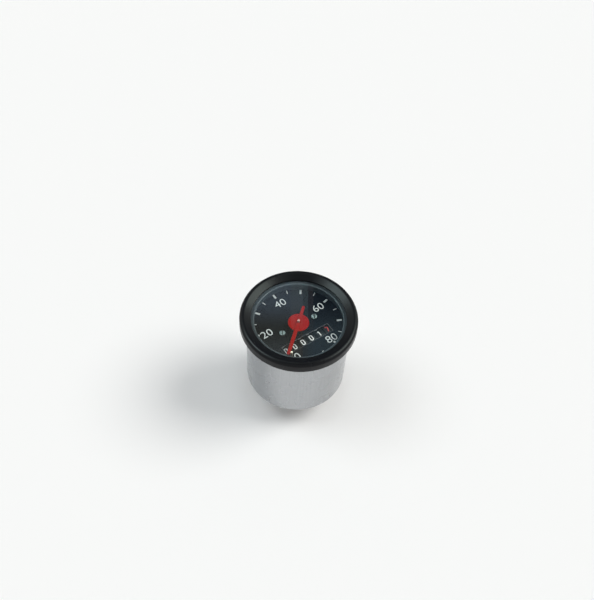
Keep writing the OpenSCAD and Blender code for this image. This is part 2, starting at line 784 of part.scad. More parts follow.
// Base plate of the movement, with three lugs bent down to carry the cross shaft
module movement_frame() {
    color([0.76, 0.7, 0.46])
        difference() {
            union() {
                translate([0, 0, plate_under])
                    cylinder(h = plate_t, r = plate_r, $fn = 128);
                frame_lug(-left_lug_at - lug_t, lug_t);
                frame_lug(mid_lug_x - lug_t, lug_t);
                frame_lug(right_lug_x, right_lug_t);
            }
            plate_hole(0, 0, frame_bush_r);
            plate_hole(upright_x, upright_y, train_shaft_r + 5 * lay_gap);
            at_pillars() plate_hole(0, 0, spigot_pin_r);
            left_and_right(post_x) plate_hole(0, post_y, spigot_pin_r);
            plate_hole(left_screw_x, plate_screw_y, small_screw_r);
            plate_hole(upright_x, plate_screw_y, small_screw_r);
            translate([0, cross_y, train_z])
                along_x()
                    cylinder(h = long_cut, r = train_shaft_r + run_gap, center = true, $fn = 48);
        }
}

// Round hole through the base plate
module plate_hole(x, y, r) {
    translate([x, y, plate_under - through])
        cylinder(h = plate_t + 2 * through, r = r, $fn = 48);
}

// One bent lug of the base plate, from x over the given thickness
module frame_lug(x, thick) {
    low = train_z - lug_w / 2;
    translate([x, cross_y - lug_w / 2, low])
        cube([thick, lug_w, plate_under - low + join]);
}

module frame_bush() {
    color([0.6, 0.45, 0.28])
        difference() {
            union() {
                translate([0, 0, plate_under])
                    cylinder(h = plate_t, r = frame_bush_r, $fn = 48);
                translate([0, 0, plate_under - frame_bush_t])
                    cylinder(h = frame_bush_t, r = frame_bush_r + frame_bush_rim, $fn = 48);
            }
            cylinder(h = long_cut, r = input_front_r + run_gap, center = true, $fn = 48);
        }
}

// Soft iron ring round the drag cup
module flux_ring() {
    color([0.45, 0.46, 0.48])
        translate([0, 0, plate_top])
            difference() {
                cylinder(h = cup_top - flux_low - plate_top, r = flux_in_r + flux_wall, $fn = 96);
                translate([0, 0, -through])
                    cylinder(h = cup_h + 2 * through, r = flux_in_r, $fn = 96);
            }
}

// Strap under the base plate with the foot bearing of the upright shaft
module shaft_strap() {
    foot_low = foot_top - foot_t;
    flange_y = strap_y - strap_t;
    color([0.72, 0.73, 0.74])
        difference() {
            union() {
                translate([upright_x - strap_w / 2, flange_y, foot_low])
                    cube([strap_w, strap_t, plate_under - foot_low]);
                translate([upright_x - strap_w / 2, flange_y, foot_low])
                    cube([strap_w, upright_y + strap_w / 2 - flange_y, foot_t]);
                translate([upright_x - strap_w / 2, flange_y - strap_flange, plate_under - strap_t])
                    cube([strap_w, strap_flange + strap_t, strap_t]);
            }
            translate([upright_x, upright_y, foot_low - through])
                cylinder(h = foot_t + 2 * through, r = train_shaft_r + run_gap, $fn = 48);
            translate([upright_x, plate_screw_y, plate_under - strap_t - through])
                cylinder(h = strap_t + 2 * through, r = small_screw_r, $fn = 48);
        }
}

// Outline of a side plate in the plane across X, as y and z
function side_outline() =
    let (
        inner = side_plate_reach - counter_y,
        outer = carry_y - side_plate_rim,
        foot = outer + side_plate_slant,
        top = dial_under - side_plate_gap,
        low = carry_z - drum_hub_r
    )
    [
        [foot, plate_top], [inner, plate_top], [inner, top], [foot, top],
        [outer, top - side_plate_slant], [outer, low], [foot, low - side_plate_slant]
    ];

// Flat side plate with its left face at x, with both axle holes
module side_plate(x) {
    difference() {
        translate([x, 0, 0])
            rotate([90, 0, 90])
                linear_extrude(height = side_plate_t)
                    polygon(side_outline());
        counter_bore(x - through, side_plate_t + 2 * through, axle_r);
        translate([x - through, carry_y, carry_z])
            along_x()
                cylinder(h = side_plate_t + 2 * through, r = carry_axle_r, $fn = 48);
    }
}

// Cylinder on the counter's axle line
module counter_bore(x, len, r) {
    translate([x, -counter_y, counter_z])
        along_x()
            cylinder(h = len, r = r, $fn = 48);
}

// Foot of a side plate on the base plate, with its screw hole
module plate_foot(x, len, screw_x) {
    difference() {
        translate([x, plate_screw_y - plate_foot_edge, plate_top])
            cube([len, plate_foot_w, side_plate_t]);
        translate([screw_x, plate_screw_y, plate_top - through])
            cylinder(h = side_plate_t + 2 * through, r = small_screw_r, $fn = 48);
    }
}

module left_side_plate() {
    color([0.72, 0.73, 0.74])
        union() {
            side_plate(left_plate_x - side_plate_t);
            plate_foot(left_plate_x - join, plate_foot_l + join, left_screw_x);
        }
}

// Right side plate, with a tab bent over the upright shaft as its top bearing
module right_side_plate() {
    tab_low = side_plate_reach - counter_y - strap_t;
    tab_high = upright_y + tab_half;
    foot_x = upright_x - foot_head_r - side_plate_t / 2;
    color([0.72, 0.73, 0.74])
        union() {
            side_plate(right_plate_x);
            plate_foot(foot_x, right_plate_x - foot_x + join, upright_x);
            difference() {
                union() {
                    translate([right_plate_x, tab_low, tab_z])
                        cube([side_plate_t, tab_high - tab_low, tab_t]);
                    translate([upright_x - tab_half, upright_y - tab_half, tab_z])
                        cube([right_plate_x - upright_x + tab_half + join, 2 * tab_half, tab_t]);
                }
                translate([upright_x, upright_y, tab_z - through])
                    cylinder(h = tab_t + 2 * through, r = train_shaft_r + run_gap, $fn = 48);
            }
        }
}

// Small screws of the movement: two hold the bridge, two hold the side plates
module movement_screws() {
    color([0.75, 0.75, 0.74]) {
        left_and_right(post_x)
            translate([0, post_y, bridge_top])
                slotted_screw(small_head_r, small_head_h, small_screw_r, small_screw_len, 20);
        for (x = [left_screw_x, upright_x])
            translate([x, plate_screw_y, plate_top + side_plate_t])
                slotted_screw(
                    foot_head_r, small_head_h, small_screw_r, side_plate_t + plate_t + strap_t, 70
                );
    }
}

// Fixed axle between the side plates, on the line through y and z
module plate_axle(y, z, r) {
    low = left_plate_x - side_plate_t - axle_end;
    color([0.75, 0.75, 0.76])
        translate([low, y, z])
            along_x()
                cylinder(h = right_plate_x + side_plate_t + axle_end - low, r = r, $fn = 48);
}

module counter_shaft() { plate_axle(-counter_y, counter_z, axle_r); }
module carry_shaft() { plate_axle(carry_y, carry_z, carry_axle_r); }

// Snap rings on both ends of the two fixed axles
module shaft_clips() {
    color([0.35, 0.36, 0.38])
        for (x = [left_plate_x - side_plate_t - clip_t, right_plate_x + side_plate_t],
             hole = [[-counter_y, counter_z, axle_r], [carry_y, carry_z, carry_axle_r]])
            translate([x, hole[0], hole[1]])
                along_x()
                    difference() {
                        cylinder(h = clip_t, r = hole[2] + clip_w, $fn = 48);
                        translate([0, 0, -through])
                            cylinder(h = clip_t + 2 * through, r = hole[2], $fn = 48);
                        translate([-clip_w / 2, 0, -through])
                            cube([clip_w, 2 * axle_r + clip_w, clip_t + 2 * through]);
                    }
}

// Bridge across the movement, clear of the drums
module bridge() {
    low_y = upright_y + bridge_edge;
    arm_low = post_y - bridge_arm_w / 2;
    shoulder_y = post_y / 2;
    shoulder_x = (bridge_half + post_x) / 2;
    color([0.76, 0.7, 0.46])
        difference() {
            translate([0, 0, bridge_under])
                linear_extrude(height = bridge_t)
                    union() {
                        polygon([
                            [-bridge_half, low_y], [bridge_half, low_y],
                            [bridge_half, shoulder_y], [shoulder_x, arm_low],
                            [post_x, arm_low], [post_x, arm_low + bridge_arm_w],
                            [-post_x, arm_low + bridge_arm_w], [-post_x, arm_low],
                            [-shoulder_x, arm_low], [-bridge_half, shoulder_y]
                        ]);
                        left_and_right(post_x)
                            translate([0, post_y])
                                circle(r = bridge_arm_w / 2, $fn = 48);
                    }
            cylinder(h = long_cut, r = spindle_r + run_gap, center = true, $fn = 48);
            left_and_right(post_x) bridge_hole(post_y, small_screw_r);
            left_and_right(dial_screw_x) bridge_hole(0, spigot_pin_r);
            bridge_hole(hair_r + stud_pin_r, stud_pin_r);
        }
}

// Round hole through the bridge
module bridge_hole(y, r) {
    translate([0, y, bridge_under - through])
        cylinder(h = bridge_t + 2 * through, r = r, $fn = 48);
}

module bridge_posts() {
    color([0.72, 0.73, 0.74])
        left_and_right(post_x)
            translate([0, post_y, 0])
                difference() {
                    union() {
                        translate([0, 0, plate_top])
                            cylinder(h = bridge_under - plate_top, r = post_r, $fn = 48);
                        translate([0, 0, plate_under])
                            cylinder(h = plate_t, r = spigot_pin_r, $fn = 48);
                    }
                    translate([0, 0, bridge_under - small_screw_len])
                        cylinder(h = small_screw_len + through, r = small_screw_r, $fn = 48);
                }
}

// Two tapped pillars that carry the dial on the bridge
module dial_pillars() {
    color([0.72, 0.73, 0.74])
        left_and_right(dial_screw_x)
            difference() {
                union() {
                    translate([0, 0, bridge_top])
                        cylinder(h = dial_under - bridge_top, r = dial_pillar_r, $fn = 48);
                    translate([0, 0, bridge_under])
                        cylinder(h = bridge_t, r = spigot_pin_r, $fn = 48);
                }
                translate([0, 0, dial_under - small_screw_len])
                    cylinder(h = small_screw_len + through, r = small_screw_r, $fn = 48);
            }
}

// Stud under the bridge that holds the hairspring's outer end
module spring_stud() {
    color([0.76, 0.7, 0.46])
        translate([0, hair_r + stud_pin_r, hair_mid - hair_w])
            cylinder(h = bridge_top - hair_mid + hair_w, r = stud_pin_r, $fn = 48);
}

// Flat spiral spring between the stud and the collet
module hairspring() {
    steps = 24 * hair_turns;
    low_r = collet_r + hair_t / 2;
    high_r = hair_r + hair_t / 2;
    function spiral(side) = [for (i = [0 : steps])
        let (a = 90 + 360 * i / 24, r = low_r + (high_r - low_r) * i / steps + side * hair_t / 2)
        [r * cos(a), r * sin(a)]];
    inner = spiral(-1);
    color([0.7, 0.62, 0.4])
        translate([0, 0, hair_mid - hair_w / 2])
            linear_extrude(height = hair_w)
                polygon(concat(spiral(1), [for (i = [steps : -1 : 0]) inner[i]]));
}

module spring_collet() {
    color([0.76, 0.7, 0.46])
        translate([0, 0, collet_z])
            difference() {
                cylinder(h = collet_h, r = collet_r, $fn = 48);
                translate([0, 0, -through])
                    cylinder(h = collet_h + 2 * through, r = spindle_r, $fn = 48);
            }
}

// Pointer: a thin hub disc under a raised rib that tapers to a round tip and tail
module pointer() {
    tip_r = pointer_tip_w / 2;
    tail_r = pointer_tail_w / 2;
    color([0.72, 0.1, 0.08])
        rotate(pointer_rest)
            translate([0, 0, pointer_z])
                difference() {
                    union() {
                        cylinder(h = pointer_disc_t, r = pointer_hub_r, $fn = 96);
                        translate([0, 0, -pointer_boss_h])
                            cylinder(h = pointer_boss_h + join, r = pointer_boss_r, $fn = 48);
                        linear_extrude(height = pointer_rib_t)
                            polygon(concat(
                                arc(0, pointer_tip - tip_r, tip_r, 0, 180, 8),
                                [[-pointer_w / 2, 0]],
                                arc(0, tail_r - pointer_tail, tail_r, 180, 360, 8),
                                [[pointer_w / 2, 0]]
                            ));
                    }
                    cylinder(h = long_cut, r = spindle_r, center = true, $fn = 48);
                }
}

module pointer_spindle() {
    low = input_top + side_gap * 3;
    top = pointer_z + pointer_rib_t + spindle_end;
    pivot_z = input_top - pivot_deep;
    color([0.85, 0.84, 0.8]) {
        translate([0, 0, low])
            cylinder(h = top - low, r = spindle_r, $fn = 48);
        translate([0, 0, pivot_z])
            cylinder(h = low - pivot_z, r = pivot_r, $fn = 48);
    }
}

// Aluminium cup over the magnet, with the boss that joins it to the spindle
module drag_cup() {
    color([0.8, 0.8, 0.8])
        difference() {
            union() {
                translate([0, 0, cup_top - cup_h])
                    cylinder(h = cup_h, r = cup_r, $fn = 96);
                translate([0, 0, cup_top - join])
                    cylinder(h = cup_boss_h + join, r = cup_boss_r, $fn = 48);
            }
            translate([0, 0, cup_top - cup_h - through])
                cylinder(h = cup_h + through - cup_floor_t, r = cup_r - cup_wall, $fn = 96);
            cylinder(h = long_cut, r = spindle_r, center = true, $fn = 48);
        }
}

// Input spindle: a square socket at the rear, a shoulder, and a slim front half
module input_spindle() {
    color([0.7, 0.71, 0.72])
        difference() {
            union() {
                translate([0, 0, input_back])
                    cylinder(h = shoulder_z - input_back, r = input_r, $fn = 64);
                translate([0, 0, shoulder_z])
                    cylinder(h = shoulder_t, r = shoulder_r, $fn = 64);
                translate([0, 0, shoulder_z])
                    cylinder(h = input_top - shoulder_z, r = input_front_r, $fn = 64);
            }
            translate([-socket_w / 2, -socket_w / 2, input_back - through])
                cube([socket_w, socket_w, socket_depth + through]);
            translate([0, 0, input_top - pivot_deep - 2 * side_gap])
                cylinder(h = pivot_deep + through, r = pivot_r + run_gap, $fn = 48);
        }
}

module magnet() {
    color([0.3, 0.3, 0.32])
        translate([0, 0, magnet_z])
            difference() {
                cylinder(h = magnet_t, r = magnet_r, $fn = 96);
                translate([0, 0, -through])
                    cylinder(h = magnet_t + 2 * through, r = magnet_bore_r, $fn = 48);
            }
}

module magnet_hub() {
    color([0.76, 0.7, 0.46])
        difference() {
            union() {
                translate([0, 0, magnet_z])
                    cylinder(h = magnet_t, r = magnet_bore_r, $fn = 48);
                translate([0, 0, magnet_z - hub_flange_t])
                    cylinder(h = hub_flange_t, r = magnet_bore_r + hub_flange_w, $fn = 48);
            }
            cylinder(h = long_cut, r = input_front_r, center = true, $fn = 48);
        }
}

module input_worm() {
    color([0.76, 0.7, 0.46])
        translate([0, 0, train_z])
            worm(first_worm_r, first_module, 1, input_front_r, worm_end / 2, worm_end);
}

module thrust_washer() {
    color([0.85, 0.83, 0.75])
        translate([0, 0, spigot_top])
            difference() {
                cylinder(h = washer_t, r = spigot_r - washer_rim, $fn = 64);
                translate([0, 0, -through])
                    cylinder(h = washer_t + 2 * through, r = input_r + run_gap, $fn = 64);
            }
}

module cross_shaft() {
    low = -left_lug_at - lug_t - shaft_end;
    high = right_lug_x + right_lug_t + shaft_end;
    color([0.75, 0.75, 0.76])
        translate([low, cross_y, train_z])
            along_x()
                cylinder(h = high - low, r = train_shaft_r, $fn = 48);
}

module cross_wheel() {
    color([0.88, 0.86, 0.78])
        translate([0, cross_y, train_z])
            along_x()
                worm_wheel(
                    first_wheel_r, first_module, first_worm_r, 1, train_shaft_r, cross_hub_r,
                    left_lug_at - side_gap - wheel_w / 2, wheel_hub_h
                );
}

module cross_worm() {
    color([0.76, 0.7, 0.46])
        translate([upright_x, cross_y, train_z])
            along_x()
                worm(
                    second_worm_r, second_module, 1, train_shaft_r,
                    upright_x - worm_len / 2 - mid_lug_x - side_gap,
                    right_lug_x - upright_x - worm_len / 2 - side_gap
                );
}

module upright_shaft() {
    low = foot_top - foot_t;
    color([0.75, 0.75, 0.76])
        translate([upright_x, upright_y, low])
            cylinder(h = tab_z + tab_t - low, r = train_shaft_r, $fn = 48);
}

module upright_wheel() {
    color([0.88, 0.86, 0.78])
        translate([upright_x, upright_y, train_z])
            worm_wheel(
                second_wheel_r, second_module, second_worm_r, 1, train_shaft_r, upright_hub_r,
                train_z - wheel_w / 2 - foot_top - side_gap, wheel_hub_h
            );
}

module upright_worm() {
    color([0.76, 0.7, 0.46])
        translate([upright_x, upright_y, counter_z])
            worm(
                third_worm_r, third_module, -1, train_shaft_r, 2 * worm_end,
                tab_z - counter_z - worm_len / 2 - side_gap
            );
}

// Wheel that turns the tenths drum, with a hub that meets the drum
module counter_gear() {
    drum_end = tenths_x + drum_rim_w / 2;
    color([0.88, 0.86, 0.78])
        translate([upright_x, -counter_y, counter_z])
            along_x()
                worm_wheel(
                    third_wheel_r, third_module, third_worm_r, -1, axle_r + run_gap, drum_hub_r,
                    upright_x - wheel_w / 2 - drum_end,
                    right_plate_x - upright_x - wheel_w / 2 - side_gap
                );
}

// Number drum. place counts from the left; it shows its figure of the reading.
// The gear ring is on its right side and the carry teeth are on its left.
module drum(place) {
    x = drum_middle_x + drum_pitch * (place - (drum_count - 1) / 2);
    color([0.06, 0.06, 0.065])
        translate([x, -counter_y, counter_z])
            rotate([-figure_turn * reading[place], 0, 0])
                difference() {
                    union() {
                        drum_rim(place);
                        if (place < drum_count - 1)
                            drum_gear();
                        if (place > 0)
                            drum_carry();
                    }
                    along_x()
                        cylinder(h = long_cut, r = axle_r + run_gap, center = true, $fn = 48);
                }
}

// Rim, web and hub of a drum; the first drum's hub runs out to the side plate
module drum_rim(place) {
    half = drum_rim_w / 2;
    first_x = drum_middle_x - drum_pitch * (drum_count - 1) / 2;
    hub_left = place == 0 ? first_x - left_plate_x - side_gap : half;
    along_x() {
        difference() {
            cylinder(h = drum_rim_w, r = drum_r, center = true, $fn = 96);
            cylinder(h = drum_rim_w + through, r = drum_r - drum_rim_t, center = true, $fn = 96);
        }
        translate([0, 0, half - drum_web_t])
            cylinder(h = drum_web_t, r = drum_r - drum_rim_t + join, $fn = 96);
        translate([0, 0, -hub_left])
            cylinder(h = hub_left + half, r = drum_hub_r, $fn = 48);
    }
}

// Turn an outline whose angle zero is the drum's front, so that it stands on the drum's end
module on_drum(x, thick) {
    translate([x, 0, 0])
        rotate([90, 0, 90])
            rotate(90)
                linear_extrude(height = thick)
                    children();
}

// Ring of teeth on a drum's right end, which the pinion's whole teeth drive
module drum_gear() {
    on_drum(drum_rim_w / 2 - join, track_w + join)
        rotate(gear_phase)
            polygon(gear_points(
                gear_teeth, carry_root_r, gear_pitch_r, gear_pitch_r + carry_module, 5.6, 3.9, 2.2
            ));
}

// Locking disc on a drum's left end, cut away round two carry teeth
module drum_carry() {
    gap_half = 22;
    gap_r = drum_r + through;
    pitch_half = 0.74 * carry_tooth_w;
    tip_half = 0.46 * carry_tooth_w;
    on_drum(-drum_rim_w / 2 - track_w, track_w + join)
        union() {
            difference() {
                circle(r = gear_pitch_r, $fn = 96);
                rotate(carry_at)
                    polygon([
                        [0, 0], [gap_r * cos(gap_half), -gap_r * sin(gap_half)], [gap_r, 0],
                        [gap_r * cos(gap_half), gap_r * sin(gap_half)]
                    ]);
            }
            circle(r = carry_root_r, $fn = 96);
            for (side = [-1, 1])
                rotate(carry_at + side * 180 / gear_teeth)
                    polygon([
                        [carry_root_r - 3 * join, -carry_tooth_w], [gear_pitch_r, -pitch_half],
                        [gear_pitch_r + carry_module, -tip_half],
                        [gear_pitch_r + carry_module, tip_half], [gear_pitch_r, pitch_half],
                        [carry_root_r - 3 * join, carry_tooth_w]
                    ]);
        }
}

// Carry pinion between two drums: eight teeth on the left, every second one long
module carry_pinion(place) {
    left_drum_x = drum_middle_x + drum_pitch * (place - 1 - (drum_count - 1) / 2);
    full_w = track_w + side_gap / 2;
    edge = side_gap / 2;
    low_x = left_drum_x + drum_rim_w / 2 + edge;
    color([0.85, 0.85, 0.82])
        translate([0, carry_y, carry_z])
            difference() {
                union() {
                    pinion_teeth_on(low_x, full_w, pinion_teeth, 0);
                    pinion_teeth_on(
                        low_x + full_w - edge, rim_gap - full_w - edge, pinion_teeth / 2, 45
                    );
                }
                along_x()
                    cylinder(h = long_cut, r = carry_axle_r + run_gap, center = true, $fn = 48);
            }
}

// Teeth of a carry pinion from x over the given width, turned on from the drum's side
module pinion_teeth_on(x, thick, teeth, turn) {
    on_drum(x, thick)
        rotate(turn - carry_lean)
            polygon(gear_points(
                teeth, pinion_root_r, pinion_pitch_r, pinion_pitch_r + carry_module, 13, 9.3, 4
            ));
}

module drum_ten_thousands() { drum(0); }
module drum_thousands() { drum(1); }
module drum_hundreds() { drum(2); }
module drum_tens() { drum(3); }
module drum_units() { drum(4); }
module drum_tenths() { drum(5); }
module carry_pinion_1() { carry_pinion(1); }
module carry_pinion_2() { carry_pinion(2); }
module carry_pinion_3() { carry_pinion(3); }
module carry_pinion_4() { carry_pinion(4); }
module carry_pinion_5() { carry_pinion(5); }

bezel();
glass();
glass_seal();
spacer_ring();
dial();
dial_screws();
stop_pin();
case();
case_studs();
neck();
neck_bush();
frame_screws();
frame_pillars();
movement_frame();
frame_bush();
flux_ring();
shaft_strap();
left_side_plate();
right_side_plate();
movement_screws();
counter_shaft();
carry_shaft();
shaft_clips();
bridge();
bridge_posts();
dial_pillars();
spring_stud();
hairspring();
spring_collet();
pointer();
pointer_spindle();
drag_cup();
input_spindle();
magnet();
magnet_hub();
input_worm();
thrust_washer();
cross_shaft();
cross_wheel();
cross_worm();
upright_shaft();
upright_wheel();
upright_worm();
counter_gear();
drum_ten_thousands();
drum_thousands();
drum_hundreds();
drum_tens();
drum_units();
drum_tenths();
carry_pinion_1();
carry_pinion_2();
carry_pinion_3();
carry_pinion_4();
carry_pinion_5();
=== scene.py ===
from math import asin, cos, pi, radians, sin, tan

import bmesh
import bpy
from mathutils import Matrix, Vector


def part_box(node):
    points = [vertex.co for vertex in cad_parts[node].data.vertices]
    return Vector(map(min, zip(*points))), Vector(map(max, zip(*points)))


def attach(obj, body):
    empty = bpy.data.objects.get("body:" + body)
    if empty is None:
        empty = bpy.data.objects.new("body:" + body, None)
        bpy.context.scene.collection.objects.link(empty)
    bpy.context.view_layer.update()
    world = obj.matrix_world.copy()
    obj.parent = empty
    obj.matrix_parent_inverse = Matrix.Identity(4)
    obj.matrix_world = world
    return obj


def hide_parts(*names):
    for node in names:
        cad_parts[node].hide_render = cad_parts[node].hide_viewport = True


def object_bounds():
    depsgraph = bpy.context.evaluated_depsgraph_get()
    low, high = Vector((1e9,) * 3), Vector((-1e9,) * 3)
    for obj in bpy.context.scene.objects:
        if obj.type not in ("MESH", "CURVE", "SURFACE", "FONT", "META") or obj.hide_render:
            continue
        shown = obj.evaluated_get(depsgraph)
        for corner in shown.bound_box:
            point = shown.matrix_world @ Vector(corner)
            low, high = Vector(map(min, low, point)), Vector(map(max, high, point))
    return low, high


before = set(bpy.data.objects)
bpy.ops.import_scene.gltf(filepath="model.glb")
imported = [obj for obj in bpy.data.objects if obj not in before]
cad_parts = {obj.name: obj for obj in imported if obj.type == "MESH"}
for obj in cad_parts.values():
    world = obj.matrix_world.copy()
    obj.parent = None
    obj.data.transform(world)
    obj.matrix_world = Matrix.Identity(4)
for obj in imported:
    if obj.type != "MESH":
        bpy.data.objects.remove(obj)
cad_low, cad_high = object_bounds()
mm = 0.001
bpy.context.scene.view_settings.view_transform = "Standard"

# Camera: it looks down on the dial from its lower left, at the photograph's angle
# and distance, with the gauge small in the middle of the picture.
view_azimuth = radians(-36.751)
view_elevation = radians(52.366)
view_roll = radians(3.665)
aim_right = 0.714 * mm
aim_down = 10.35 * mm
camera_reach = 371.444 * mm
back = Vector((
    sin(view_azimuth) * cos(view_elevation),
    -cos(view_azimuth) * cos(view_elevation),
    sin(view_elevation),
))
level_right = (-back).cross(Vector((0, 0, 1))).normalized()
level_down = (-back).cross(level_right)
right = cos(view_roll) * level_right - sin(view_roll) * level_down
down = sin(view_roll) * level_right + cos(view_roll) * level_down
camera = bpy.data.objects.new("camera", bpy.data.cameras.new("camera"))
camera.data.lens = 48.42
camera.data.clip_start = 0.01
camera.data.clip_end = 20
camera_place = -aim_right * right - aim_down * down + camera_reach * back
camera.matrix_world = (
    Matrix.Translation(camera_place) @ Matrix((right, -down, back)).transposed().to_4x4()
)
bpy.context.scene.collection.objects.link(camera)
bpy.context.scene.camera = camera

# Floor: a plain pale sheet that the gauge stands over on its studs and drive neck.
# It is a wide round disc of the same tone as the room, so its rim doesn't show.
room_tone = (0.95, 0.96, 0.96)
floor_r = 8.0
floor_gap = 0.05 * mm


def new_material(name):
    """New material, with its nodes and its links."""
    material = bpy.data.materials.new(name)
    material.use_nodes = True
    return material, material.node_tree.nodes, material.node_tree.links


floor_mesh = bpy.data.meshes.new("floor")
shape = bmesh.new()
bmesh.ops.create_circle(shape, cap_ends=True, segments=64, radius=floor_r)
bmesh.ops.translate(shape, verts=shape.verts, vec=(0, 0, cad_low.z - floor_gap))
shape.to_mesh(floor_mesh)
shape.free()
floor = bpy.data.objects.new("floor", floor_mesh)
bpy.context.scene.collection.objects.link(floor)
paper, nodes, links = new_material("pale_floor")
nodes["Principled BSDF"].inputs["Base Color"].default_value = (*room_tone, 1)
nodes["Principled BSDF"].inputs["Roughness"].default_value = 0.95
nodes["Principled BSDF"].inputs["Specular IOR Level"].default_value = 0.0
floor_mesh.materials.append(paper)

# Light: a pale room, seen as it is by the camera, in gloss and through glass, with two
# wide soft lamps. Together they light a face that looks up at a plain level of one.
room_light = 0.42


def ray_is(nodes, links, *kinds):
    """Output that is one for a ray of any of these kinds and nought for the others."""
    paths = nodes.new("ShaderNodeLightPath")
    answer = paths.outputs[kinds[0]]
    for kind in kinds[1:]:
        either = nodes.new("ShaderNodeMath")
        either.operation = "MAXIMUM"
        links.new(answer, either.inputs[0])
        links.new(paths.outputs[kind], either.inputs[1])
        answer = either.outputs[0]
    return answer


world = bpy.data.worlds.new("pale_room")
bpy.context.scene.world = world
world.use_nodes = True
nodes, links = world.node_tree.nodes, world.node_tree.links
nodes["Background"].inputs["Color"].default_value = (1.0, 1.0, 1.0, 1)
nodes["Background"].inputs["Strength"].default_value = room_light
seen = nodes.new("ShaderNodeBackground")
seen.inputs["Color"].default_value = (*room_tone, 1)
seen.inputs["Strength"].default_value = 1.0
choose = nodes.new("ShaderNodeMixShader")
in_sight = ray_is(nodes, links, "Is Camera Ray", "Is Glossy Ray", "Is Transmission Ray")
links.new(in_sight, choose.inputs[0])
links.new(nodes["Background"].outputs[0], choose.inputs[1])
links.new(seen.outputs[0], choose.inputs[2])
links.new(choose.outputs[0], nodes["World Output"].inputs["Surface"])


def soft_lamp(name, towards, spread, level, colour):
    """Wide lamp far off in a direction, which adds a level to a white face looking up."""
    towards = Vector(towards).normalized()
    lamp = bpy.data.objects.new(name, bpy.data.lights.new(name, "SUN"))
    lamp.data.angle = radians(spread)
    lamp.data.energy = level * pi / towards.z
    lamp.data.color = colour
    lamp.rotation_mode = "QUATERNION"
    lamp.rotation_quaternion = towards.to_track_quat("Z", "Y")
    bpy.context.scene.collection.objects.link(lamp)


soft_lamp("front_lamp", (0.60, -0.30, 0.74), 32, 0.40, (1.0, 0.98, 0.95))
soft_lamp("back_lamp", (-0.41, 0.38, 0.83), 32, 0.18, (0.95, 0.99, 1.0))

# Cards: boards that only the gauge's gloss shows. Seven lie in one plane, a metre off,
# where the glass mirrors them to the camera. Four shape the gloss of the bezel: two dark
# ones over and behind the gauge, and two bright ones at its front and side.
glass_low, glass_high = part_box("glass")
card_reach = camera_reach + 1.0
card_right = Vector((right.x, right.y, -right.z))
card_down = Vector((down.x, down.y, -down.z))
card_away = Vector((-back.x, -back.y, back.z))
card_middle = (
    Vector((camera_place.x, camera_place.y, 2 * glass_high.z - camera_place.z))
    + card_reach * card_away
)
board_reach = 1.2


def colour_mix(nodes, first, second):
    """Node that blends from one colour to another by its factor."""
    blend = nodes.new("ShaderNodeMix")
    blend.data_type = "RGBA"
    blend.inputs["A"].default_value = (*first, 1)
    blend.inputs["B"].default_value = (*second, 1)
    return blend


def gloss_card(name, middle, across, along, width, height, high_tone, low_tone, fade=(0, 1)):
    """Board that only gloss shows. Its low tone runs into the high one over the fade, which
    is two heights along the card from its middle."""
    facing = across.cross(along)
    card_mesh = bpy.data.meshes.new(name)
    shape = bmesh.new()
    bmesh.ops.create_grid(shape, x_segments=1, y_segments=1, size=0.5)
    bmesh.ops.transform(
        shape, verts=shape.verts,
        matrix=Matrix.Translation(middle)
        @ Matrix((across, along, facing)).transposed().to_4x4()
        @ Matrix.Diagonal((width, height, 1, 1)),
    )
    shape.to_mesh(card_mesh)
    shape.free()
    board, nodes, links = new_material(name)
    place = nodes.new("ShaderNodeTexCoord")
    height_at = nodes.new("ShaderNodeVectorMath")
    height_at.operation = "DOT_PRODUCT"
    height_at.inputs[1].default_value = along
    spread = nodes.new("ShaderNodeMapRange")
    spread.interpolation_type = "SMOOTHSTEP"
    spread.inputs["From Min"].default_value = middle.dot(along) + fade[0]
    spread.inputs["From Max"].default_value = middle.dot(along) + fade[1]
    blend = colour_mix(nodes, low_tone, high_tone)
    glow = nodes.new("ShaderNodeEmission")
    links.new(place.outputs["Object"], height_at.inputs[0])
    links.new(height_at.outputs["Value"], spread.inputs["Value"])
    links.new(spread.outputs["Result"], blend.inputs["Factor"])
    links.new(blend.outputs["Result"], glow.inputs["Color"])
    links.new(glow.outputs[0], nodes["Material Output"].inputs["Surface"])
    nodes.remove(nodes["Principled BSDF"])
    card_mesh.materials.append(board)
    card = bpy.data.objects.new(name, card_mesh)
    card.visible_camera = card.visible_diffuse = card.visible_shadow = False
    bpy.context.scene.collection.objects.link(card)


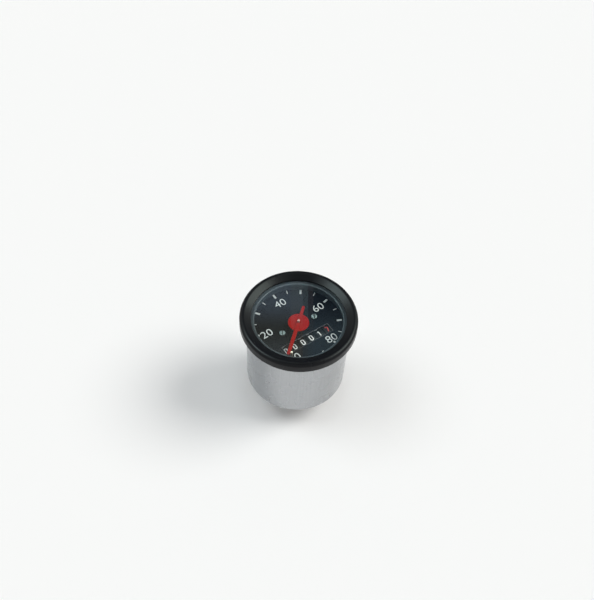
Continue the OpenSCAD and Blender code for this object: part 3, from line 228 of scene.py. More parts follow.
# Edges and fades are metres to the right of and down from the middle of the plane.
for name, left_edge, right_edge, top_edge, low_edge, fade_top, fade_low, high_tone, low_tone in (
    ("blue_card", -0.30, -0.010, -0.20, 0.0, -0.06, 0.0, (0.46, 0.60, 0.78), (0.42, 0.53, 0.65)),
    ("blend_card", -0.30, -0.010, 0.0, 0.05, 0.0, 0.05, (0.42, 0.53, 0.65), (0.23, 0.24, 0.20)),
    ("brown_card", -0.30, -0.010, 0.05, 0.20, 0.05, 0.11, (0.23, 0.24, 0.20), (0.49, 0.55, 0.54)),
    ("strip_card", -0.010, 0.010, -0.20, 0.20, 0.0, 0.06, (0.44, 0.55, 0.63), (0.32, 0.32, 0.29)),
    ("strip_edge", 0.010, 0.019, -0.20, 0.20, 0.0, 0.06, (0.31, 0.41, 0.46), (0.25, 0.31, 0.33)),
    ("strip_fade", 0.019, 0.028, -0.20, 0.20, 0.0, 0.08, (0.17, 0.18, 0.21), (0.24, 0.33, 0.38)),
    ("dark_card", 0.028, 0.30, -0.20, 0.20, 0.0, 0.08, (0.06, 0.09, 0.12), (0.24, 0.35, 0.41)),
):
    middle_down = (top_edge + low_edge) / 2
    gloss_card(
        name, card_middle + (left_edge + right_edge) / 2 * card_right + middle_down * card_down,
        card_right, -card_down, right_edge - left_edge, low_edge - top_edge,
        high_tone, low_tone, (middle_down - fade_low, middle_down - fade_top),
    )
for name, towards, width, height, tone in (
    ("overhead_board", (-0.17, -0.23, 0.96), 0.8, 0.8, (0.04, 0.05, 0.07)),
    ("back_board", (0.58, 0.78, 0.25), 1.25, 1.38, (0.10, 0.12, 0.15)),
    ("front_panel", (0.62, -0.20, 0.76), 0.70, 0.60, (8.2, 9.6, 8.9)),
    ("side_panel", (-0.41, 0.38, 0.83), 0.5, 0.5, (11.0, 14.0, 14.0)),
):
    towards = Vector(towards).normalized()
    across = Vector((0, 0, 1)).cross(towards).normalized()
    gloss_card(
        name, board_reach * towards, across, towards.cross(across), width, height, tone, tone,
    )

# Bezel: a ring spun from sheet, rolled in under the case flange and stove-enamelled
# in a satin black with a faint blue cast. Its front face slopes in to the glass.
def speckle_group():
    """Fine even grain for bump, a mask of sparse specks, and a slow drift of tone."""
    group = bpy.data.node_groups.new("surface_speckle", "ShaderNodeTree")
    for name, value in (("Grain Scale", 4000.0), ("Grain Squeeze", 1.0),
                        ("Speck Scale", 1500.0), ("Speck Share", 0.1)):
        socket = group.interface.new_socket(name, in_out="INPUT", socket_type="NodeSocketFloat")
        socket.default_value = value
    for name in ("Height", "Specks", "Drift"):
        group.interface.new_socket(name, in_out="OUTPUT", socket_type="NodeSocketFloat")
    nodes, links = group.nodes, group.links
    taken, given = nodes.new("NodeGroupInput"), nodes.new("NodeGroupOutput")
    place = nodes.new("ShaderNodeTexCoord")
    grain = nodes.new("ShaderNodeTexNoise")
    grain.inputs["Detail"].default_value = 3.0
    specks = nodes.new("ShaderNodeTexVoronoi")
    drift = nodes.new("ShaderNodeTexNoise")
    drift.inputs["Scale"].default_value = 90.0
    drift.inputs["Detail"].default_value = 4.0
    squeeze = nodes.new("ShaderNodeCombineXYZ")
    squeeze.inputs["X"].default_value = squeeze.inputs["Y"].default_value = 1.0
    squeezed = nodes.new("ShaderNodeVectorMath")
    squeezed.operation = "MULTIPLY"
    links.new(taken.outputs["Grain Squeeze"], squeeze.inputs["Z"])
    links.new(place.outputs["Object"], squeezed.inputs[0])
    links.new(squeeze.outputs["Vector"], squeezed.inputs[1])
    links.new(squeezed.outputs["Vector"], grain.inputs["Vector"])
    for texture in (specks, drift):
        links.new(place.outputs["Object"], texture.inputs["Vector"])
    links.new(taken.outputs["Grain Scale"], grain.inputs["Scale"])
    links.new(taken.outputs["Speck Scale"], specks.inputs["Scale"])
    small = nodes.new("ShaderNodeMath")
    small.operation = "LESS_THAN"
    links.new(specks.outputs["Distance"], small.inputs[0])
    links.new(taken.outputs["Speck Share"], small.inputs[1])
    links.new(grain.outputs["Fac"], given.inputs["Height"])
    links.new(small.outputs[0], given.inputs["Specks"])
    links.new(drift.outputs["Fac"], given.inputs["Drift"])
    return group


speckle = speckle_group()


def finish(name, colour, roughness, speck_colour, metallic=0.0, grain_scale=4000.0,
           grain=0.05, speck_scale=1500.0, speck_share=0.1, rough_spread=0.1,
           specular=0.5, squeeze=1.0, streak_colour=None):
    """Material with an even grain, a slow drift in its roughness and sparse specks."""
    material, nodes, links = new_material(name)
    shader = nodes["Principled BSDF"]
    # Links take over colour and roughness. Viewers that read no nodes show these values.
    shader.inputs["Base Color"].default_value = (*colour, 1)
    shader.inputs["Roughness"].default_value = roughness
    shader.inputs["Metallic"].default_value = metallic
    shader.inputs["Specular IOR Level"].default_value = specular
    surface = nodes.new("ShaderNodeGroup")
    surface.node_tree = speckle
    surface.inputs["Grain Scale"].default_value = grain_scale
    surface.inputs["Grain Squeeze"].default_value = squeeze
    surface.inputs["Speck Scale"].default_value = speck_scale
    surface.inputs["Speck Share"].default_value = speck_share
    spread = nodes.new("ShaderNodeMapRange")
    spread.inputs["From Min"].default_value = 0.3
    spread.inputs["From Max"].default_value = 0.7
    spread.inputs["To Min"].default_value = roughness - rough_spread / 2
    spread.inputs["To Max"].default_value = roughness + rough_spread / 2
    links.new(surface.outputs["Drift"], spread.inputs["Value"])
    links.new(spread.outputs["Result"], shader.inputs["Roughness"])
    bump = nodes.new("ShaderNodeBump")
    bump.inputs["Strength"].default_value = grain
    bump.inputs["Distance"].default_value = 0.05 * mm
    links.new(surface.outputs["Height"], bump.inputs["Height"])
    links.new(bump.outputs["Normal"], shader.inputs["Normal"])
    blend = colour_mix(nodes, colour, speck_colour)
    links.new(surface.outputs["Specks"], blend.inputs["Factor"])
    links.new(blend.outputs["Result"], shader.inputs["Base Color"])
    if streak_colour:
        streaks = colour_mix(nodes, colour, streak_colour)
        share = nodes.new("ShaderNodeMapRange")
        share.inputs["From Min"].default_value = 0.35
        share.inputs["From Max"].default_value = 0.65
        links.new(surface.outputs["Height"], share.inputs["Value"])
        links.new(share.outputs["Result"], streaks.inputs["Factor"])
        links.new(streaks.outputs["Result"], blend.inputs["A"])
    return material


weld_gap = 0.0005 * mm
sharp_turn = radians(35)


def make_piece(shape, name, material, body, replaced=(), bevel=0.0):
    """Turns a bmesh into a piece of the gauge, with soft edges and smooth round faces."""
    bmesh.ops.remove_doubles(shape, verts=shape.verts, dist=weld_gap)
    bmesh.ops.recalc_face_normals(shape, faces=shape.faces)
    if bevel:
        edges = [e for e in shape.edges if e.is_manifold and e.calc_face_angle() > sharp_turn]
        bmesh.ops.bevel(
            shape, geom=edges, offset=bevel, offset_type="OFFSET", segments=2, profile=0.5,
            affect="EDGES", clamp_overlap=True, material=-1,
        )
    mesh = bpy.data.meshes.new(name)
    shape.to_mesh(mesh)
    shape.free()
    mesh.shade_smooth()
    mesh.set_sharp_from_angle(angle=sharp_turn)
    mesh.materials.append(material)
    piece = bpy.data.objects.new(name, mesh)
    bpy.context.scene.collection.objects.link(piece)
    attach(piece, body)
    if replaced:
        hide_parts(*replaced)


def lathe(profile, steps=192, closed=True):
    """Spins (radius, height) points about Z. A closed profile makes a ring, an open one a disc."""
    shape = bmesh.new()
    line = [shape.verts.new((r, 0, z)) for r, z in profile]
    ends = list(zip(line, line[1:]))
    if closed:
        ends.append((line[-1], line[0]))
    edges = [shape.edges.new(pair) for pair in ends]
    bmesh.ops.spin(
        shape, geom=line + edges, cent=(0, 0, 0), axis=(0, 0, 1), dvec=(0, 0, 0),
        angle=2 * pi, steps=steps, use_merge=True, use_normal_flip=False, use_duplicate=False,
    )
    bmesh.ops.remove_doubles(shape, verts=shape.verts, dist=weld_gap)
    return shape


def arc(centre_r, centre_z, radius, start, end, steps):
    """Points of a round stretch of a profile, from one angle to another in degrees."""
    turns = [radians(start + (end - start) * i / steps) for i in range(steps + 1)]
    return [(centre_r + radius * cos(a), centre_z + radius * sin(a)) for a in turns]


_, bezel_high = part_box("bezel")
bezel_r = bezel_high.x
bezel_wall = 1.0 * mm
bezel_in_r = bezel_r - bezel_wall
crimp_in_r = bezel_in_r - 1.1 * mm
crimp_t = 0.8 * mm
foot_r = 0.5 * mm
shoulder_r = 1.7 * mm
crest_r = bezel_r - shoulder_r
crest_z = bezel_high.z - shoulder_r
face_lean = 117
face_fall = tan(radians(face_lean - 90))
opening_r = bezel_r - 5.2 * mm
lip_top = glass_high.z + 0.6 * mm
lip_ease = 0.15 * mm
bearing_w = 0.9 * mm
enamel = finish(
    "black_enamel", (0.0052, 0.0058, 0.0072), 0.30, grain_scale=2600, grain=0.12,
    speck_colour=(0.04, 0.04, 0.042), speck_scale=900, speck_share=0.045, rough_spread=0.10,
    specular=0.12,
)
make_piece(
    lathe(
        [(crimp_in_r, 0.0)]
        + arc(bezel_r - foot_r, foot_r, foot_r, -90, 0, 8)
        + arc(crest_r, crest_z, shoulder_r, 0, face_lean, 28)
        + [(opening_r + 2 * lip_ease, lip_top + lip_ease * face_fall)]
        + arc(opening_r + lip_ease, lip_top - lip_ease, lip_ease, face_lean, 180, 6)
        + [(opening_r, glass_high.z), (opening_r + bearing_w, glass_high.z)]
        + arc(crest_r, crest_z, shoulder_r - bezel_wall, face_lean, 0, 8)
        + [(bezel_in_r, crimp_t), (crimp_in_r, crimp_t)],
        steps=256,
    ),
    "bezel_ring", enamel, "housing", replaced=["bezel"],
)

# Glass: a flat disc of clear float glass with ground edges, pressed on its rubber seal
# by the bezel. It is clean and clear, so the dial's light and shade come through.
glass_clear, nodes, links = new_material("clear_glass")
shader = nodes["Principled BSDF"]
shader.inputs["Base Color"].default_value = (0.985, 0.995, 0.99, 1)
shader.inputs["Transmission Weight"].default_value = 1.0
shader.inputs["IOR"].default_value = 1.5
shader.inputs["Roughness"].default_value = 0.0
through = nodes.new("ShaderNodeBsdfTransparent")
choose = nodes.new("ShaderNodeMixShader")
links.new(ray_is(nodes, links, "Is Shadow Ray", "Is Diffuse Ray"), choose.inputs[0])
links.new(shader.outputs[0], choose.inputs[1])
links.new(through.outputs[0], choose.inputs[2])
links.new(choose.outputs[0], nodes["Material Output"].inputs["Surface"])
edge_grind = 0.15 * mm
glass_r = glass_high.x
make_piece(
    lathe([
        (0, glass_low.z), (glass_r - edge_grind, glass_low.z),
        (glass_r, glass_low.z + edge_grind), (glass_r, glass_high.z - edge_grind),
        (glass_r - edge_grind, glass_high.z), (0, glass_high.z),
    ], closed=False),
    "front_glass", glass_clear, "housing", replaced=["glass"],
)

# Seal: a flat ring of black rubber between the case flange and the glass.
# It is cut from sheet, and only its edge can be seen through the glass.
def coat(material, *names):
    """Gives CAD nodes their finish. Their shapes stay as they are."""
    for name in names:
        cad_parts[name].material_slots[0].material = material


rubber = finish(
    "black_rubber", (0.018, 0.018, 0.018), 0.75, grain_scale=3000, grain=0.3,
    speck_colour=(0.06, 0.06, 0.06), speck_share=0.06,
)
coat(rubber, "glass_seal")

# Spacer ring: a ring pressed from sheet between dial and glass, with a rim turned in
# under the glass at its front. It is sprayed a satin slate grey that catches the light.
ring_low, ring_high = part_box("spacer_ring")
ring_r = ring_high.x
ring_in_r = ring_r - 1.8 * mm
rim_in_r = ring_in_r - 0.9 * mm
rim_t = 0.6 * mm
rim_round = 0.58 * mm
slate_ring = finish(
    "slate_ring", (0.042, 0.058, 0.066), 0.42, grain_scale=3200, grain=0.08,
    speck_colour=(0.06, 0.08, 0.09), speck_share=0.05, specular=0.2,
)
make_piece(
    lathe(
        [(ring_in_r, ring_low.z), (ring_r, ring_low.z), (ring_r, ring_high.z)]
        + arc(rim_in_r + rim_round, ring_high.z - rim_round, rim_round, 90, 180, 10)
        + [(rim_in_r, ring_high.z - rim_t), (ring_in_r, ring_high.z - rim_t)],
        steps=256,
    ),
    "dial_spacer", slate_ring, "housing", replaced=["spacer_ring"],
)

# Dial: a steel disc, blanked with a window for the counter, sprayed matt black.
# The CAD node keeps its shape and holes; only its finish is set here.
dial_low, dial_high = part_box("dial")
dial_black = finish(
    "dial_black", (0.0050, 0.0072, 0.0108), 0.7, grain_scale=5200, grain=0.18,
    speck_colour=(0.022, 0.026, 0.031), speck_scale=1300, speck_share=0.05, rough_spread=0.06,
    specular=0.0,
)
coat(dial_black, "dial")

# Window edge: the cut edge of the dial round the counter window, with a thin paler line
# along its corner that is a painted highlight.
window_w = 25.5 * mm
window_h = 4.9 * mm
window_x = -0.65 * mm
axle_low, axle_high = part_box("counter_shaft")
axle_y = (axle_low.y + axle_high.y) / 2
window_y = axle_y + 0.35 * mm
edge_t = 0.12 * mm
# Its pale grey is a painted highlight along the window's corner.
painted_highlight_grey = finish(
    "painted_edge_highlight", (0.11, 0.12, 0.13), 0.6, grain_scale=5200, grain=0.18,
    speck_colour=(0.05, 0.06, 0.06), speck_scale=1800, speck_share=0.25, specular=0.3,
)
shape = bmesh.new()
rims = []
for trim in (0, edge_t):
    half_w, half_h = window_w / 2 - trim, window_h / 2 - trim
    rims.append([
        shape.verts.new((window_x + x * half_w, window_y + y * half_h, z))
        for z in (dial_low.z, dial_high.z) for x, y in ((-1, -1), (1, -1), (1, 1), (-1, 1))
    ])
outer, inner = rims
for i in range(4):
    j = (i + 1) % 4
    shape.faces.new((outer[i], outer[j], outer[j + 4], outer[i + 4]))
    shape.faces.new((inner[i + 4], inner[j + 4], inner[j], inner[i]))
    shape.faces.new((outer[i + 4], outer[j + 4], inner[j + 4], inner[i + 4]))
    shape.faces.new((inner[i], inner[j], outer[j], outer[i]))
make_piece(shape, "window_edge", painted_highlight_grey, "housing")

# Scale: white marks screen-printed on the dial, a long one every ten and a short one
# every five, from nought at the lower left to eighty at the lower right. The screen sat
# a little off the middle.
print_t = 0.03 * mm
print_shift = (-0.26 * mm, 0.15 * mm, 0)
degrees_per_kmh = 3.787
speed_at_top = 40
mark_end = 20.9 * mm
long_mark = (18.5 * mm, 0.95 * mm)
short_mark = (19.0 * mm, 0.42 * mm)
mark_round = 0.1 * mm
print_white = finish(
    "print_white", (0.66, 0.73, 0.73), 0.6, grain_scale=7000, grain=0.12,
    speck_colour=(0.50, 0.55, 0.55), speck_scale=2600, speck_share=0.08, specular=0.2,
)
marks = bmesh.new()
for speed in range(0, 85, 5):
    start_r, width = short_mark if speed % 10 else long_mark
    bar = bmesh.ops.create_cube(marks, size=1.0)["verts"]
    size = Matrix.Diagonal((width, mark_end - start_r, print_t, 1))
    place = Matrix.Translation((0, (start_r + mark_end) / 2, dial_high.z + print_t / 2))
    turn = Matrix.Rotation(radians((speed_at_top - speed) * degrees_per_kmh), 4, "Z")
    bmesh.ops.transform(marks, matrix=turn @ place @ size, verts=bar)
bmesh.ops.translate(marks, verts=marks.verts, vec=print_shift)
upright = [e for e in marks.edges if abs(e.verts[0].co.z - e.verts[1].co.z) > print_t / 2]
bmesh.ops.bevel(
    marks, geom=upright, offset=mark_round, offset_type="OFFSET", segments=2, profile=0.5,
    affect="EDGES", clamp_overlap=True, material=-1,
)
make_piece(marks, "scale_marks", print_white, "housing")

# Numerals: the even tens, printed upright inside the marks in a plain medium face,
# and the unit of speed small under the counter.
numeral_h = 3.75 * mm
numeral_weight = -0.006
numeral_stretch = 1.08
unit_h = 1.9 * mm
unit_y = -18.6 * mm
numerals = bmesh.new()


def curve_shape(curve):
    """Bmesh of a text or curve, which is used up."""
    holder = bpy.data.objects.new(curve.name, curve)
    mesh = bpy.data.meshes.new_from_object(holder)
    bpy.data.objects.remove(holder)
    bpy.data.curves.remove(curve)
    shape = bmesh.new()
    shape.from_mesh(mesh)
    bpy.data.meshes.remove(mesh)
    return shape


def add_copy(target, source, matrix):
    """Adds a transformed copy of one bmesh to another."""
    mesh = bpy.data.meshes.new("copy")
    source.to_mesh(mesh)
    mesh.transform(matrix)
    target.from_mesh(mesh)
    bpy.data.meshes.remove(mesh)


def print_words(words, x, y, height, weight=0.0, stretch=1.0):
    """Prints flat letters of a given height on the dial, centred on a place."""
    curve = bpy.data.curves.new(words, "FONT")
    curve.body = words
    curve.align_x, curve.align_y = "CENTER", "CENTER"
    curve.offset = weight
    curve.extrude = 0.5
    curve.resolution_u = 6
    letters = curve_shape(curve)
    low = Vector([min(v.co[i] for v in letters.verts) for i in range(3)])
    high = Vector([max(v.co[i] for v in letters.verts) for i in range(3)])
    bmesh.ops.translate(letters, verts=letters.verts, vec=-(low + high) / 2)
    factor = height / (high.y - low.y)
    bmesh.ops.scale(letters, verts=letters.verts, vec=(factor * stretch, factor, print_t))
    bmesh.ops.remove_doubles(letters, verts=letters.verts, dist=weld_gap)
    add_copy(numerals, letters, Matrix.Translation((x, y, dial_high.z + print_t / 2)))
    letters.free()


for words, x, y in (
    ("0", -9.9, -14.1), ("20", -14.9, 3.8), ("40", -0.2, 15.2), ("60", 13.65, 3.7),
    ("80", 8.85, -14.0),
):
    print_words(words, x * mm, y * mm, numeral_h, numeral_weight, numeral_stretch)
print_words("km/h", 0, unit_y, unit_h)
make_piece(numerals, "scale_numerals", print_white, "housing")

# Dial screws: two small cheese-head screws that hold the dial on its pillars, turned
# from steel and dulled. Their slots are painted dark as shade.
screw_steel = finish(
    "screw_steel", (0.115, 0.147, 0.148), 0.5, metallic=0.7, grain_scale=4000, grain=0.25,
    speck_colour=(0.22, 0.24, 0.24), speck_scale=2600, speck_share=0.15,
)
# The shanks, the slot floors and the lower rims of the heads are painted dark as shade.
painted_slot_shade = finish(
    "painted_slot_shade", (0.05, 0.055, 0.055), 0.7, grain_scale=4000, grain=0.25,
    speck_colour=(0.12, 0.12, 0.12), speck_scale=2600, speck_share=0.1, specular=0.2,
)
screw_low, screw_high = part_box("dial_screws")
screw_x = 8.85 * mm
screw_shank_r = 0.95 * mm
head_r = 1.35 * mm
head_round = 0.1 * mm
slot_half = 0.21 * mm
slot_floor = screw_high.z - 0.35 * mm
slot_turn = radians(62)
slot_a = asin(slot_half / head_r)
cap_sink = 0.03 * mm
cap_steps = 20


def raise_face(shape, face, height):
    """Thickens a flat face of a bmesh upwards."""
    lift = bmesh.ops.extrude_face_region(shape, geom=[face])["geom"]
    bmesh.ops.translate(
        shape, verts=[v for v in lift if isinstance(v, bmesh.types.BMVert)], vec=(0, 0, height),
    )


shank = lathe([
    (0, screw_low.z), (screw_shank_r, screw_low.z), (screw_shank_r, dial_high.z),
    (head_r, dial_high.z), (head_r, slot_floor), (0, slot_floor),
], steps=48, closed=False)
cap = bmesh.new()
rim = [slot_a + (pi - 2 * slot_a) * i / cap_steps for i in range(cap_steps + 1)]
for turn in (0, pi):
    half_cap = cap.faces.new([
        cap.verts.new((head_r * cos(a + turn), head_r * sin(a + turn), slot_floor - cap_sink))
        for a in rim
    ])
    raise_face(cap, half_cap, screw_high.z - slot_floor + cap_sink)
shanks, caps = bmesh.new(), bmesh.new()
for side in (-1, 1):
    place = Matrix.Translation((side * screw_x, 0, 0)) @ Matrix.Rotation(slot_turn, 4, "Z")
    add_copy(shanks, shank, place)
    add_copy(caps, cap, place)
shank.free()
cap.free()
make_piece(shanks, "dial_screw_shanks", painted_slot_shade, "housing",
           replaced=["dial_screws"])
make_piece(caps, "dial_screw_heads", screw_steel, "housing", bevel=head_round)

# Stop pin: a short pin turned from brass and thinly nickel plated, riveted in the dial.
# The pointer rests on it.
pin_nickel = finish(
    "pin_nickel", (0.62, 0.58, 0.46), 0.45, metallic=0.6, grain_scale=2600, grain=0.08,
    speck_colour=(0.55, 0.5, 0.4), speck_scale=1400, speck_share=0.06,
)
coat(pin_nickel, "stop_pin")

# Pointer: a light aluminium pressing with a hub disc and a rib along its arm,
# sprayed a warm signal red. Its tip and tail are rounded off.
pointer_rest = radians(131.5)
_, pointer_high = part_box("pointer")
arm_t = 0.8 * mm
arm_w = 1.8 * mm
arm_round = 0.18 * mm
tip_r = 18.7 * mm
tip_w = 1.6 * mm
tail_r = 9.6 * mm
tail_w = 1.3 * mm
end_steps = 6
disc_low = pointer_high.z - arm_t
disc_top = disc_low + 0.4 * mm
hub_r = 4.9 * mm
boss_r = 1.2 * mm
boss_low = disc_low - 0.9 * mm
low_ease = 0.1 * mm
top_ease = 0.12 * mm
signal_red = finish(
    "signal_red", (0.33, 0.002, 0.001), 0.5, grain_scale=3600, grain=0.1,
    speck_colour=(0.42, 0.008, 0.006), speck_scale=1500, speck_share=0.04, specular=0.0,
)
outline = []
for side, reach, width in ((1, tip_r, tip_w), (-1, tail_r, tail_w)):
    for i in range(end_steps + 1):
        a = pi * i / end_steps
        outline.append((
            side * width / 2 * cos(a), side * (reach - width / 2) + side * width / 2 * sin(a),
        ))
    outline.append((-side * arm_w / 2, 0))
shape = bmesh.new()
arm_face = shape.faces.new([shape.verts.new((x, y, disc_low)) for x, y in outline])
raise_face(shape, arm_face, arm_t)
bmesh.ops.rotate(
    shape, verts=shape.verts, cent=(0, 0, 0), matrix=Matrix.Rotation(pointer_rest, 3, "Z"),
)
make_piece(shape, "pointer_arm", signal_red, "pointer_unit", bevel=arm_round)
make_piece(
    lathe([
        (0, boss_low), (boss_r, boss_low), (boss_r, disc_low), (hub_r - low_ease, disc_low),
        (hub_r, disc_low + low_ease), (hub_r, disc_top - top_ease),
        (hub_r - top_ease, disc_top), (0, disc_top),
    ], closed=False),
    "pointer_hub", signal_red, "pointer_unit", replaced=["pointer"],
)

# Pointer spindle: an arbor turned from steel, whose small end shows over the pointer's
# hub, dulled by the red spray.
spindle_end = finish(
    "spindle_end", (0.42, 0.22, 0.20), 0.5, metallic=0.5, grain_scale=3000, grain=0.1,
    speck_colour=(0.3, 0.1, 0.09), speck_scale=1800, speck_share=0.08,
)
coat(spindle_end, "pointer_spindle")

# Counter drums: six moulded black drums on one axle, with figures printed round their
# rims, white ones and red on the tenths drum. The figures that are read stand a few
# degrees off the drums' tops, in the middle of the window.
drum_black = finish(
    "drum_black", (0.006, 0.006, 0.007), 0.5, grain_scale=3000, grain=0.1,
    speck_colour=(0.03, 0.03, 0.03), speck_scale=1500, speck_share=0.04, specular=0.1,
)
figure_white = finish(
    "figure_white", (0.74, 0.78, 0.76), 0.5, grain_scale=6000, grain=0.1,
    speck_colour=(0.5, 0.5, 0.49), speck_scale=2200, speck_share=0.06,
)
figure_red = finish(
    "figure_red", (0.52, 0.02, 0.02), 0.5, grain_scale=5000, grain=0.1,
    speck_colour=(0.4, 0.03, 0.02), speck_scale=2000, speck_share=0.06,
)
figure_h = 3.1 * mm
figure_w = 1.75 * mm
figure_lead = 3.2
figure_step = 36
stroke_w = 0.46 * mm
bend_cuts = 12
# Strokes of each figure, from -1 to 1 over its width and height. A closed one is a ring.
figure_paths = {
    0: [([(-1, -1), (1, -1), (1, 1), (-1, 1)], True)],
    1: [([(-0.7, 0.55), (0.15, 1), (0.15, -1)], False)],
    2: [([(-1, 0.5), (-1, 1), (1, 1), (1, 0.15), (-1, -1), (1, -1)], False)],
    3: [([(-1, 1), (1, 1), (-0.1, 0.2), (1, 0.1), (1, -1), (-1, -1), (-1, -0.6)], False)],
    4: [([(0.4, -1), (0.4, 1), (-1, -0.45), (1.1, -0.45)], False)],
    5: [([(1, 1), (-1, 1), (-1, 0.15), (1, 0.25), (1, -1), (-1, -1), (-1, -0.65)], False)],
    6: [([(1, 0.65), (1, 1), (-1, 1), (-1, -1), (1, -1), (1, 0.15), (-0.9, 0.15)], False)],
    7: [([(-1, 1), (1, 1), (-0.2, -1)], False)],
    8: [([(-1, -1), (1, -1), (1, 1), (-1, 1)], True), ([(-0.9, 0.05), (0.9, 0.05)], False)],
    9: [([(-1, -0.65), (-1, -1), (1, -1), (1, 1), (-1, 1), (-1, -0.1), (0.9, -0.1)], False)],
}
reading = (0, 0, 0, 0, 1, 7)
drum_names = ("ten_thousands", "thousands", "hundreds", "tens", "units", "tenths")
axle_z = (axle_low.z + axle_high.z) / 2
drum_low, drum_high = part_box("drum_tenths")
drum_r = (drum_high.z - drum_low.z) / 2
drum_pitch = 4.54 * mm
tenths_x = drum_high.x - 1.8 * mm


def square_figure(value):
    """Bmesh of a tall squared figure, as moulded drums have, drawn with one flat stroke."""
    curve = bpy.data.curves.new("figure", "CURVE")
    curve.dimensions = "3D"
    curve.bevel_depth = stroke_w / 2
    curve.bevel_resolution = 2
    curve.use_fill_caps = True
    half = Vector(((figure_w - stroke_w) / 2, (figure_h - stroke_w) / 2))
    for points, ring in figure_paths[value]:
        line = [Vector((x * half.x, y * half.y)) for x, y in points]
        soft = []
        for i, corner in enumerate(line):
            if not ring and i in (0, len(line) - 1):
                soft.append(corner)
                continue
            start, end = (
                corner + way.normalized() * min(stroke_w, way.length / 2)
                for way in (line[i - 1] - corner, line[(i + 1) % len(line)] - corner)
            )
            for t in (0, 0.25, 0.5, 0.75, 1):
                soft.append((1 - t) ** 2 * start + 2 * t * (1 - t) * corner + t ** 2 * end)
        spline = curve.splines.new("POLY")
        spline.points.add(len(soft) - 1)
        for point, place in zip(spline.points, soft):
            point.co = (place.x, place.y, 0, 1)
        spline.use_cyclic_u = ring
    shape = curve_shape(curve)
    bmesh.ops.scale(shape, verts=shape.verts, vec=(1, 1, print_t / stroke_w))
    return shape


def wrap_round(shape, radius, turn):
    """Bends a flat figure round a drum about the X axis; z becomes the height over the rim."""
    for step in range(-bend_cuts // 2, bend_cuts // 2 + 1):
        bmesh.ops.bisect_plane(
            shape, geom=shape.verts[:] + shape.edges[:] + shape.faces[:],
            plane_co=(0, step * figure_h / bend_cuts, 0), plane_no=(0, 1, 0),
        )
    for vert in shape.verts:
        a = turn - vert.co.y / radius
        r = radius + vert.co.z
        vert.co.y, vert.co.z = -r * sin(a), r * cos(a)


for place, name in enumerate(drum_names):
    coat(drum_black, "drum_" + name)
    drum_x = tenths_x - (len(drum_names) - 1 - place) * drum_pitch
    figures = bmesh.new()
    for value in range(10):
        figure = square_figure(value)
        bmesh.ops.translate(figure, verts=figure.verts, vec=(0, 0, print_t / 4))
        wrap_round(figure, drum_r, radians(figure_step * (value - reading[place]) - figure_lead))
        add_copy(figures, figure, Matrix.Translation((drum_x, axle_y, axle_z)))
        figure.free()
    make_piece(
        figures, "figures_" + name, figure_red if name == "tenths" else figure_white,
        "tenths_unit" if name == "tenths" else name + "_drum",
    )

# Case: a cup drawn from mild steel and zinc plated, with a soft dull sheen. The draw
# leaves fine upright lines in its wall.
zinc_drawn = finish(
    "drawn_zinc", (0.405, 0.415, 0.43), 0.27, metallic=1.0, grain_scale=3200, grain=0.16,
    speck_colour=(0.36, 0.37, 0.38), speck_scale=900, speck_share=0.03, rough_spread=0.14,
    squeeze=0.02, streak_colour=(0.44, 0.45, 0.465),
)
case_r = 24.0 * mm
case_wall = 0.8 * mm
case_corner_r = 2.5 * mm
case_back = -40.0 * mm
case_floor = case_back + case_wall
spigot_r = 4.0 * mm
flange_r = 26.1 * mm
flange_low = 0.8 * mm
flange_top = 1.5 * mm
corner_x = case_r - case_corner_r
corner_z = case_back + case_corner_r
make_piece(
    lathe(
        [(spigot_r, case_back)]
        + arc(corner_x, corner_z, case_corner_r, -90, 0, 20)
        + arc(case_r + flange_low, 0, flange_low, 180, 90, 10)
        + [(flange_r, flange_low), (flange_r, flange_top), (case_r - case_wall, flange_top)]
        + arc(corner_x, corner_z, case_corner_r - case_wall, 0, -90, 12)
        + [(spigot_r, case_floor)],
        steps=256,
    ),
    "case_cup", zinc_drawn, "housing", replaced=["case"],
)

# Plated steel parts: the movement's pillars, posts, side plates and strap, turned or
# bent from mild steel, and the screws of its frame. They are zinc plated like the case.
zinc = finish(
    "zinc_plate", (0.50, 0.51, 0.53), 0.32, metallic=1.0, grain_scale=1500, grain=0.1,
    speck_colour=(0.42, 0.43, 0.44), speck_scale=700, speck_share=0.06, rough_spread=0.16,
)
coat(zinc, "frame_screws", "frame_pillars", "shaft_strap", "left_side_plate",
     "right_side_plate", "bridge_posts", "dial_pillars")

# Mounting studs: two plated steel screws with flat heads inside the case. They come out
# through its back and carry a fine rolled thread, M4.
stud_x = 15.0 * mm
stud_end = -52.0 * mm
stud_end_r = 1.35 * mm
stud_root_r = 1.57 * mm
stud_root_low = -51.78 * mm
stud_root_top = -40.9 * mm
stud_r = 2.0 * mm
stud_full_from = -40.5 * mm
stud_neck_r = 2.2 * mm
stud_head_r = 3.2 * mm
stud_head_top = case_floor + 0.8 * mm
stud_pitch = 0.7 * mm
stud_thread_low = -51.8 * mm
ridge_sink = 0.02 * mm


def screw_thread(root_r, crest_r, pitch, low, high, steps):
    """Ridge of a right-hand thread about Z, between two heights."""
    flank, crest = 0.36 * pitch, 0.12 * pitch
    shape = bmesh.new()
    section = [shape.verts.new(place) for place in (
        (root_r, 0, low), (crest_r, 0, low + flank),
        (crest_r, 0, low + flank + crest), (root_r, 0, low + 2 * flank + crest),
    )]
    edges = [shape.edges.new((section[i], section[(i + 1) % 4])) for i in range(4)]
    shape.faces.new(section)
    count = int((high - low) / pitch * steps) - steps
    end = bmesh.ops.spin(
        shape, geom=section + edges, cent=(0, 0, 0), axis=(0, 0, 1), dvec=(0, 0, pitch / steps),
        angle=2 * pi * count / steps, steps=count, use_merge=False, use_normal_flip=False,
        use_duplicate=False,
    )["geom_last"]
    shape.faces.new([v for v in end if isinstance(v, bmesh.types.BMVert)])
    return shape


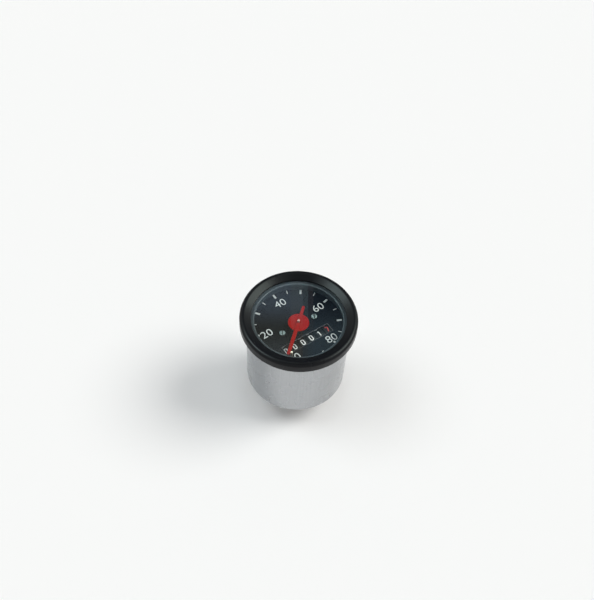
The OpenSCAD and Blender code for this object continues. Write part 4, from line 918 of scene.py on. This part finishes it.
stud = lathe([
    (0, stud_end), (stud_end_r, stud_end), (stud_root_r, stud_root_low),
    (stud_root_r, stud_root_top), (stud_r, stud_full_from), (stud_r, case_back),
    (stud_neck_r, case_back), (stud_neck_r, case_floor), (stud_head_r, case_floor),
    (stud_head_r, stud_head_top), (0, stud_head_top),
], steps=64, closed=False)
ridge = screw_thread(
    stud_root_r - ridge_sink, stud_r, stud_pitch, stud_thread_low, stud_full_from, steps=40,
)
studs, ridges = bmesh.new(), bmesh.new()
for side in (-1, 1):
    add_copy(studs, stud, Matrix.Translation((side * stud_x, 0, 0)))
    add_copy(ridges, ridge, Matrix.Translation((side * stud_x, 0, 0)))
stud.free()
ridge.free()
make_piece(studs, "stud_shanks", zinc, "housing", replaced=["case_studs"])
make_piece(ridges, "stud_threads", zinc, "housing")

# Drive neck: turned from brass bar, bored for the drive cable's end and threaded M10
# outside for its union nut.
brass = finish(
    "brass", (0.62, 0.45, 0.2), 0.3, metallic=1.0, grain_scale=2600, grain=0.08,
    speck_colour=(0.38, 0.26, 0.12), speck_scale=1400, speck_share=0.06,
)
neck_end = -52.0 * mm
neck_end_r = 4.2 * mm
neck_root_r = 4.42 * mm
neck_root_low = -51.7 * mm
neck_root_top = -42.3 * mm
neck_r = 5.0 * mm
neck_full_from = -41.9 * mm
neck_pitch = 1.0 * mm
collar_r = 7.0 * mm
collar_low = case_back - 1.2 * mm
collar_ease = 0.15 * mm
spigot_top = case_floor + 0.8 * mm
cable_bore_r = 3.3 * mm
cable_bore_top = -48.0 * mm
bush_bore_r = 2.7 * mm
make_piece(
    lathe([
        (cable_bore_r, neck_end), (neck_end_r, neck_end), (neck_root_r, neck_root_low),
        (neck_root_r, neck_root_top), (neck_r, neck_full_from), (neck_r, collar_low),
        (collar_r - collar_ease, collar_low), (collar_r, collar_low + collar_ease),
        (collar_r, case_back), (spigot_r, case_back), (spigot_r, spigot_top),
        (bush_bore_r, spigot_top), (bush_bore_r, cable_bore_top),
        (cable_bore_r, cable_bore_top),
    ], steps=128),
    "neck_body", brass, "housing", replaced=["neck"],
)
make_piece(
    screw_thread(
        neck_root_r - ridge_sink, neck_r, neck_pitch, neck_root_low, neck_full_from, steps=64,
    ),
    "neck_thread", brass, "housing",
)

# Other brass pieces: the movement frame and bridge, blanked from sheet, and the worms,
# hub, collet and spring stud, turned from bar. None of them is plated.
coat(brass, "movement_frame", "bridge", "spring_stud", "spring_collet", "magnet_hub",
     "input_worm", "cross_worm", "upright_worm")

# Steel arbors and movement screws: turned from steel bar and left bright. The drums,
# wheels and pinions of the movement run or sit on the arbors.
bright_steel = finish(
    "bright_steel", (0.62, 0.64, 0.63), 0.26, metallic=1.0, grain_scale=2400, grain=0.06,
    speck_colour=(0.42, 0.42, 0.41), speck_scale=1900, speck_share=0.05,
)
coat(bright_steel, "movement_screws", "counter_shaft", "carry_shaft", "input_spindle",
     "cross_shaft", "upright_shaft")

# Moulded wheels, pinions and thrust washer: natural acetal, a warm white that runs on
# steel without oil. The wheels are pressed on their arbors and the pinions turn freely.
acetal = finish(
    "white_acetal", (0.72, 0.70, 0.63), 0.4, grain_scale=2500, grain=0.06,
    speck_colour=(0.6, 0.58, 0.52), speck_share=0.04,
)
coat(acetal, "cross_wheel", "upright_wheel", "counter_gear", "thrust_washer",
     *(f"carry_pinion_{i}" for i in range(1, 6)))

# Bushes and hairspring: phosphor bronze, browner than the brass. The bushes are turned
# and pressed in, and the spring is rolled strip, wound flat.
bronze = finish(
    "spring_bronze", (0.48, 0.3, 0.15), 0.35, metallic=1.0, grain_scale=2600, grain=0.08,
    speck_colour=(0.3, 0.18, 0.09), speck_share=0.06,
)
coat(bronze, "neck_bush", "frame_bush", "hairspring")

# Drag cup: a thin cup spun from aluminium and left bright. It is fixed on the pointer's
# spindle and runs between magnet and flux ring.
aluminium = finish(
    "spun_aluminium", (0.72, 0.73, 0.74), 0.3, metallic=1.0, grain_scale=1800, grain=0.08,
    speck_colour=(0.58, 0.58, 0.59), speck_share=0.05,
)
coat(aluminium, "drag_cup")

# Flux ring, snap rings and magnet: a turned ring of soft iron, stamped spring steel and
# a sintered magnet, all dull dark greys.
dark_iron = finish(
    "dark_iron", (0.2, 0.2, 0.21), 0.5, metallic=0.9, grain_scale=1500, grain=0.2,
    speck_colour=(0.12, 0.12, 0.12), speck_share=0.1,
)
coat(dark_iron, "flux_ring", "shaft_clips", "magnet")
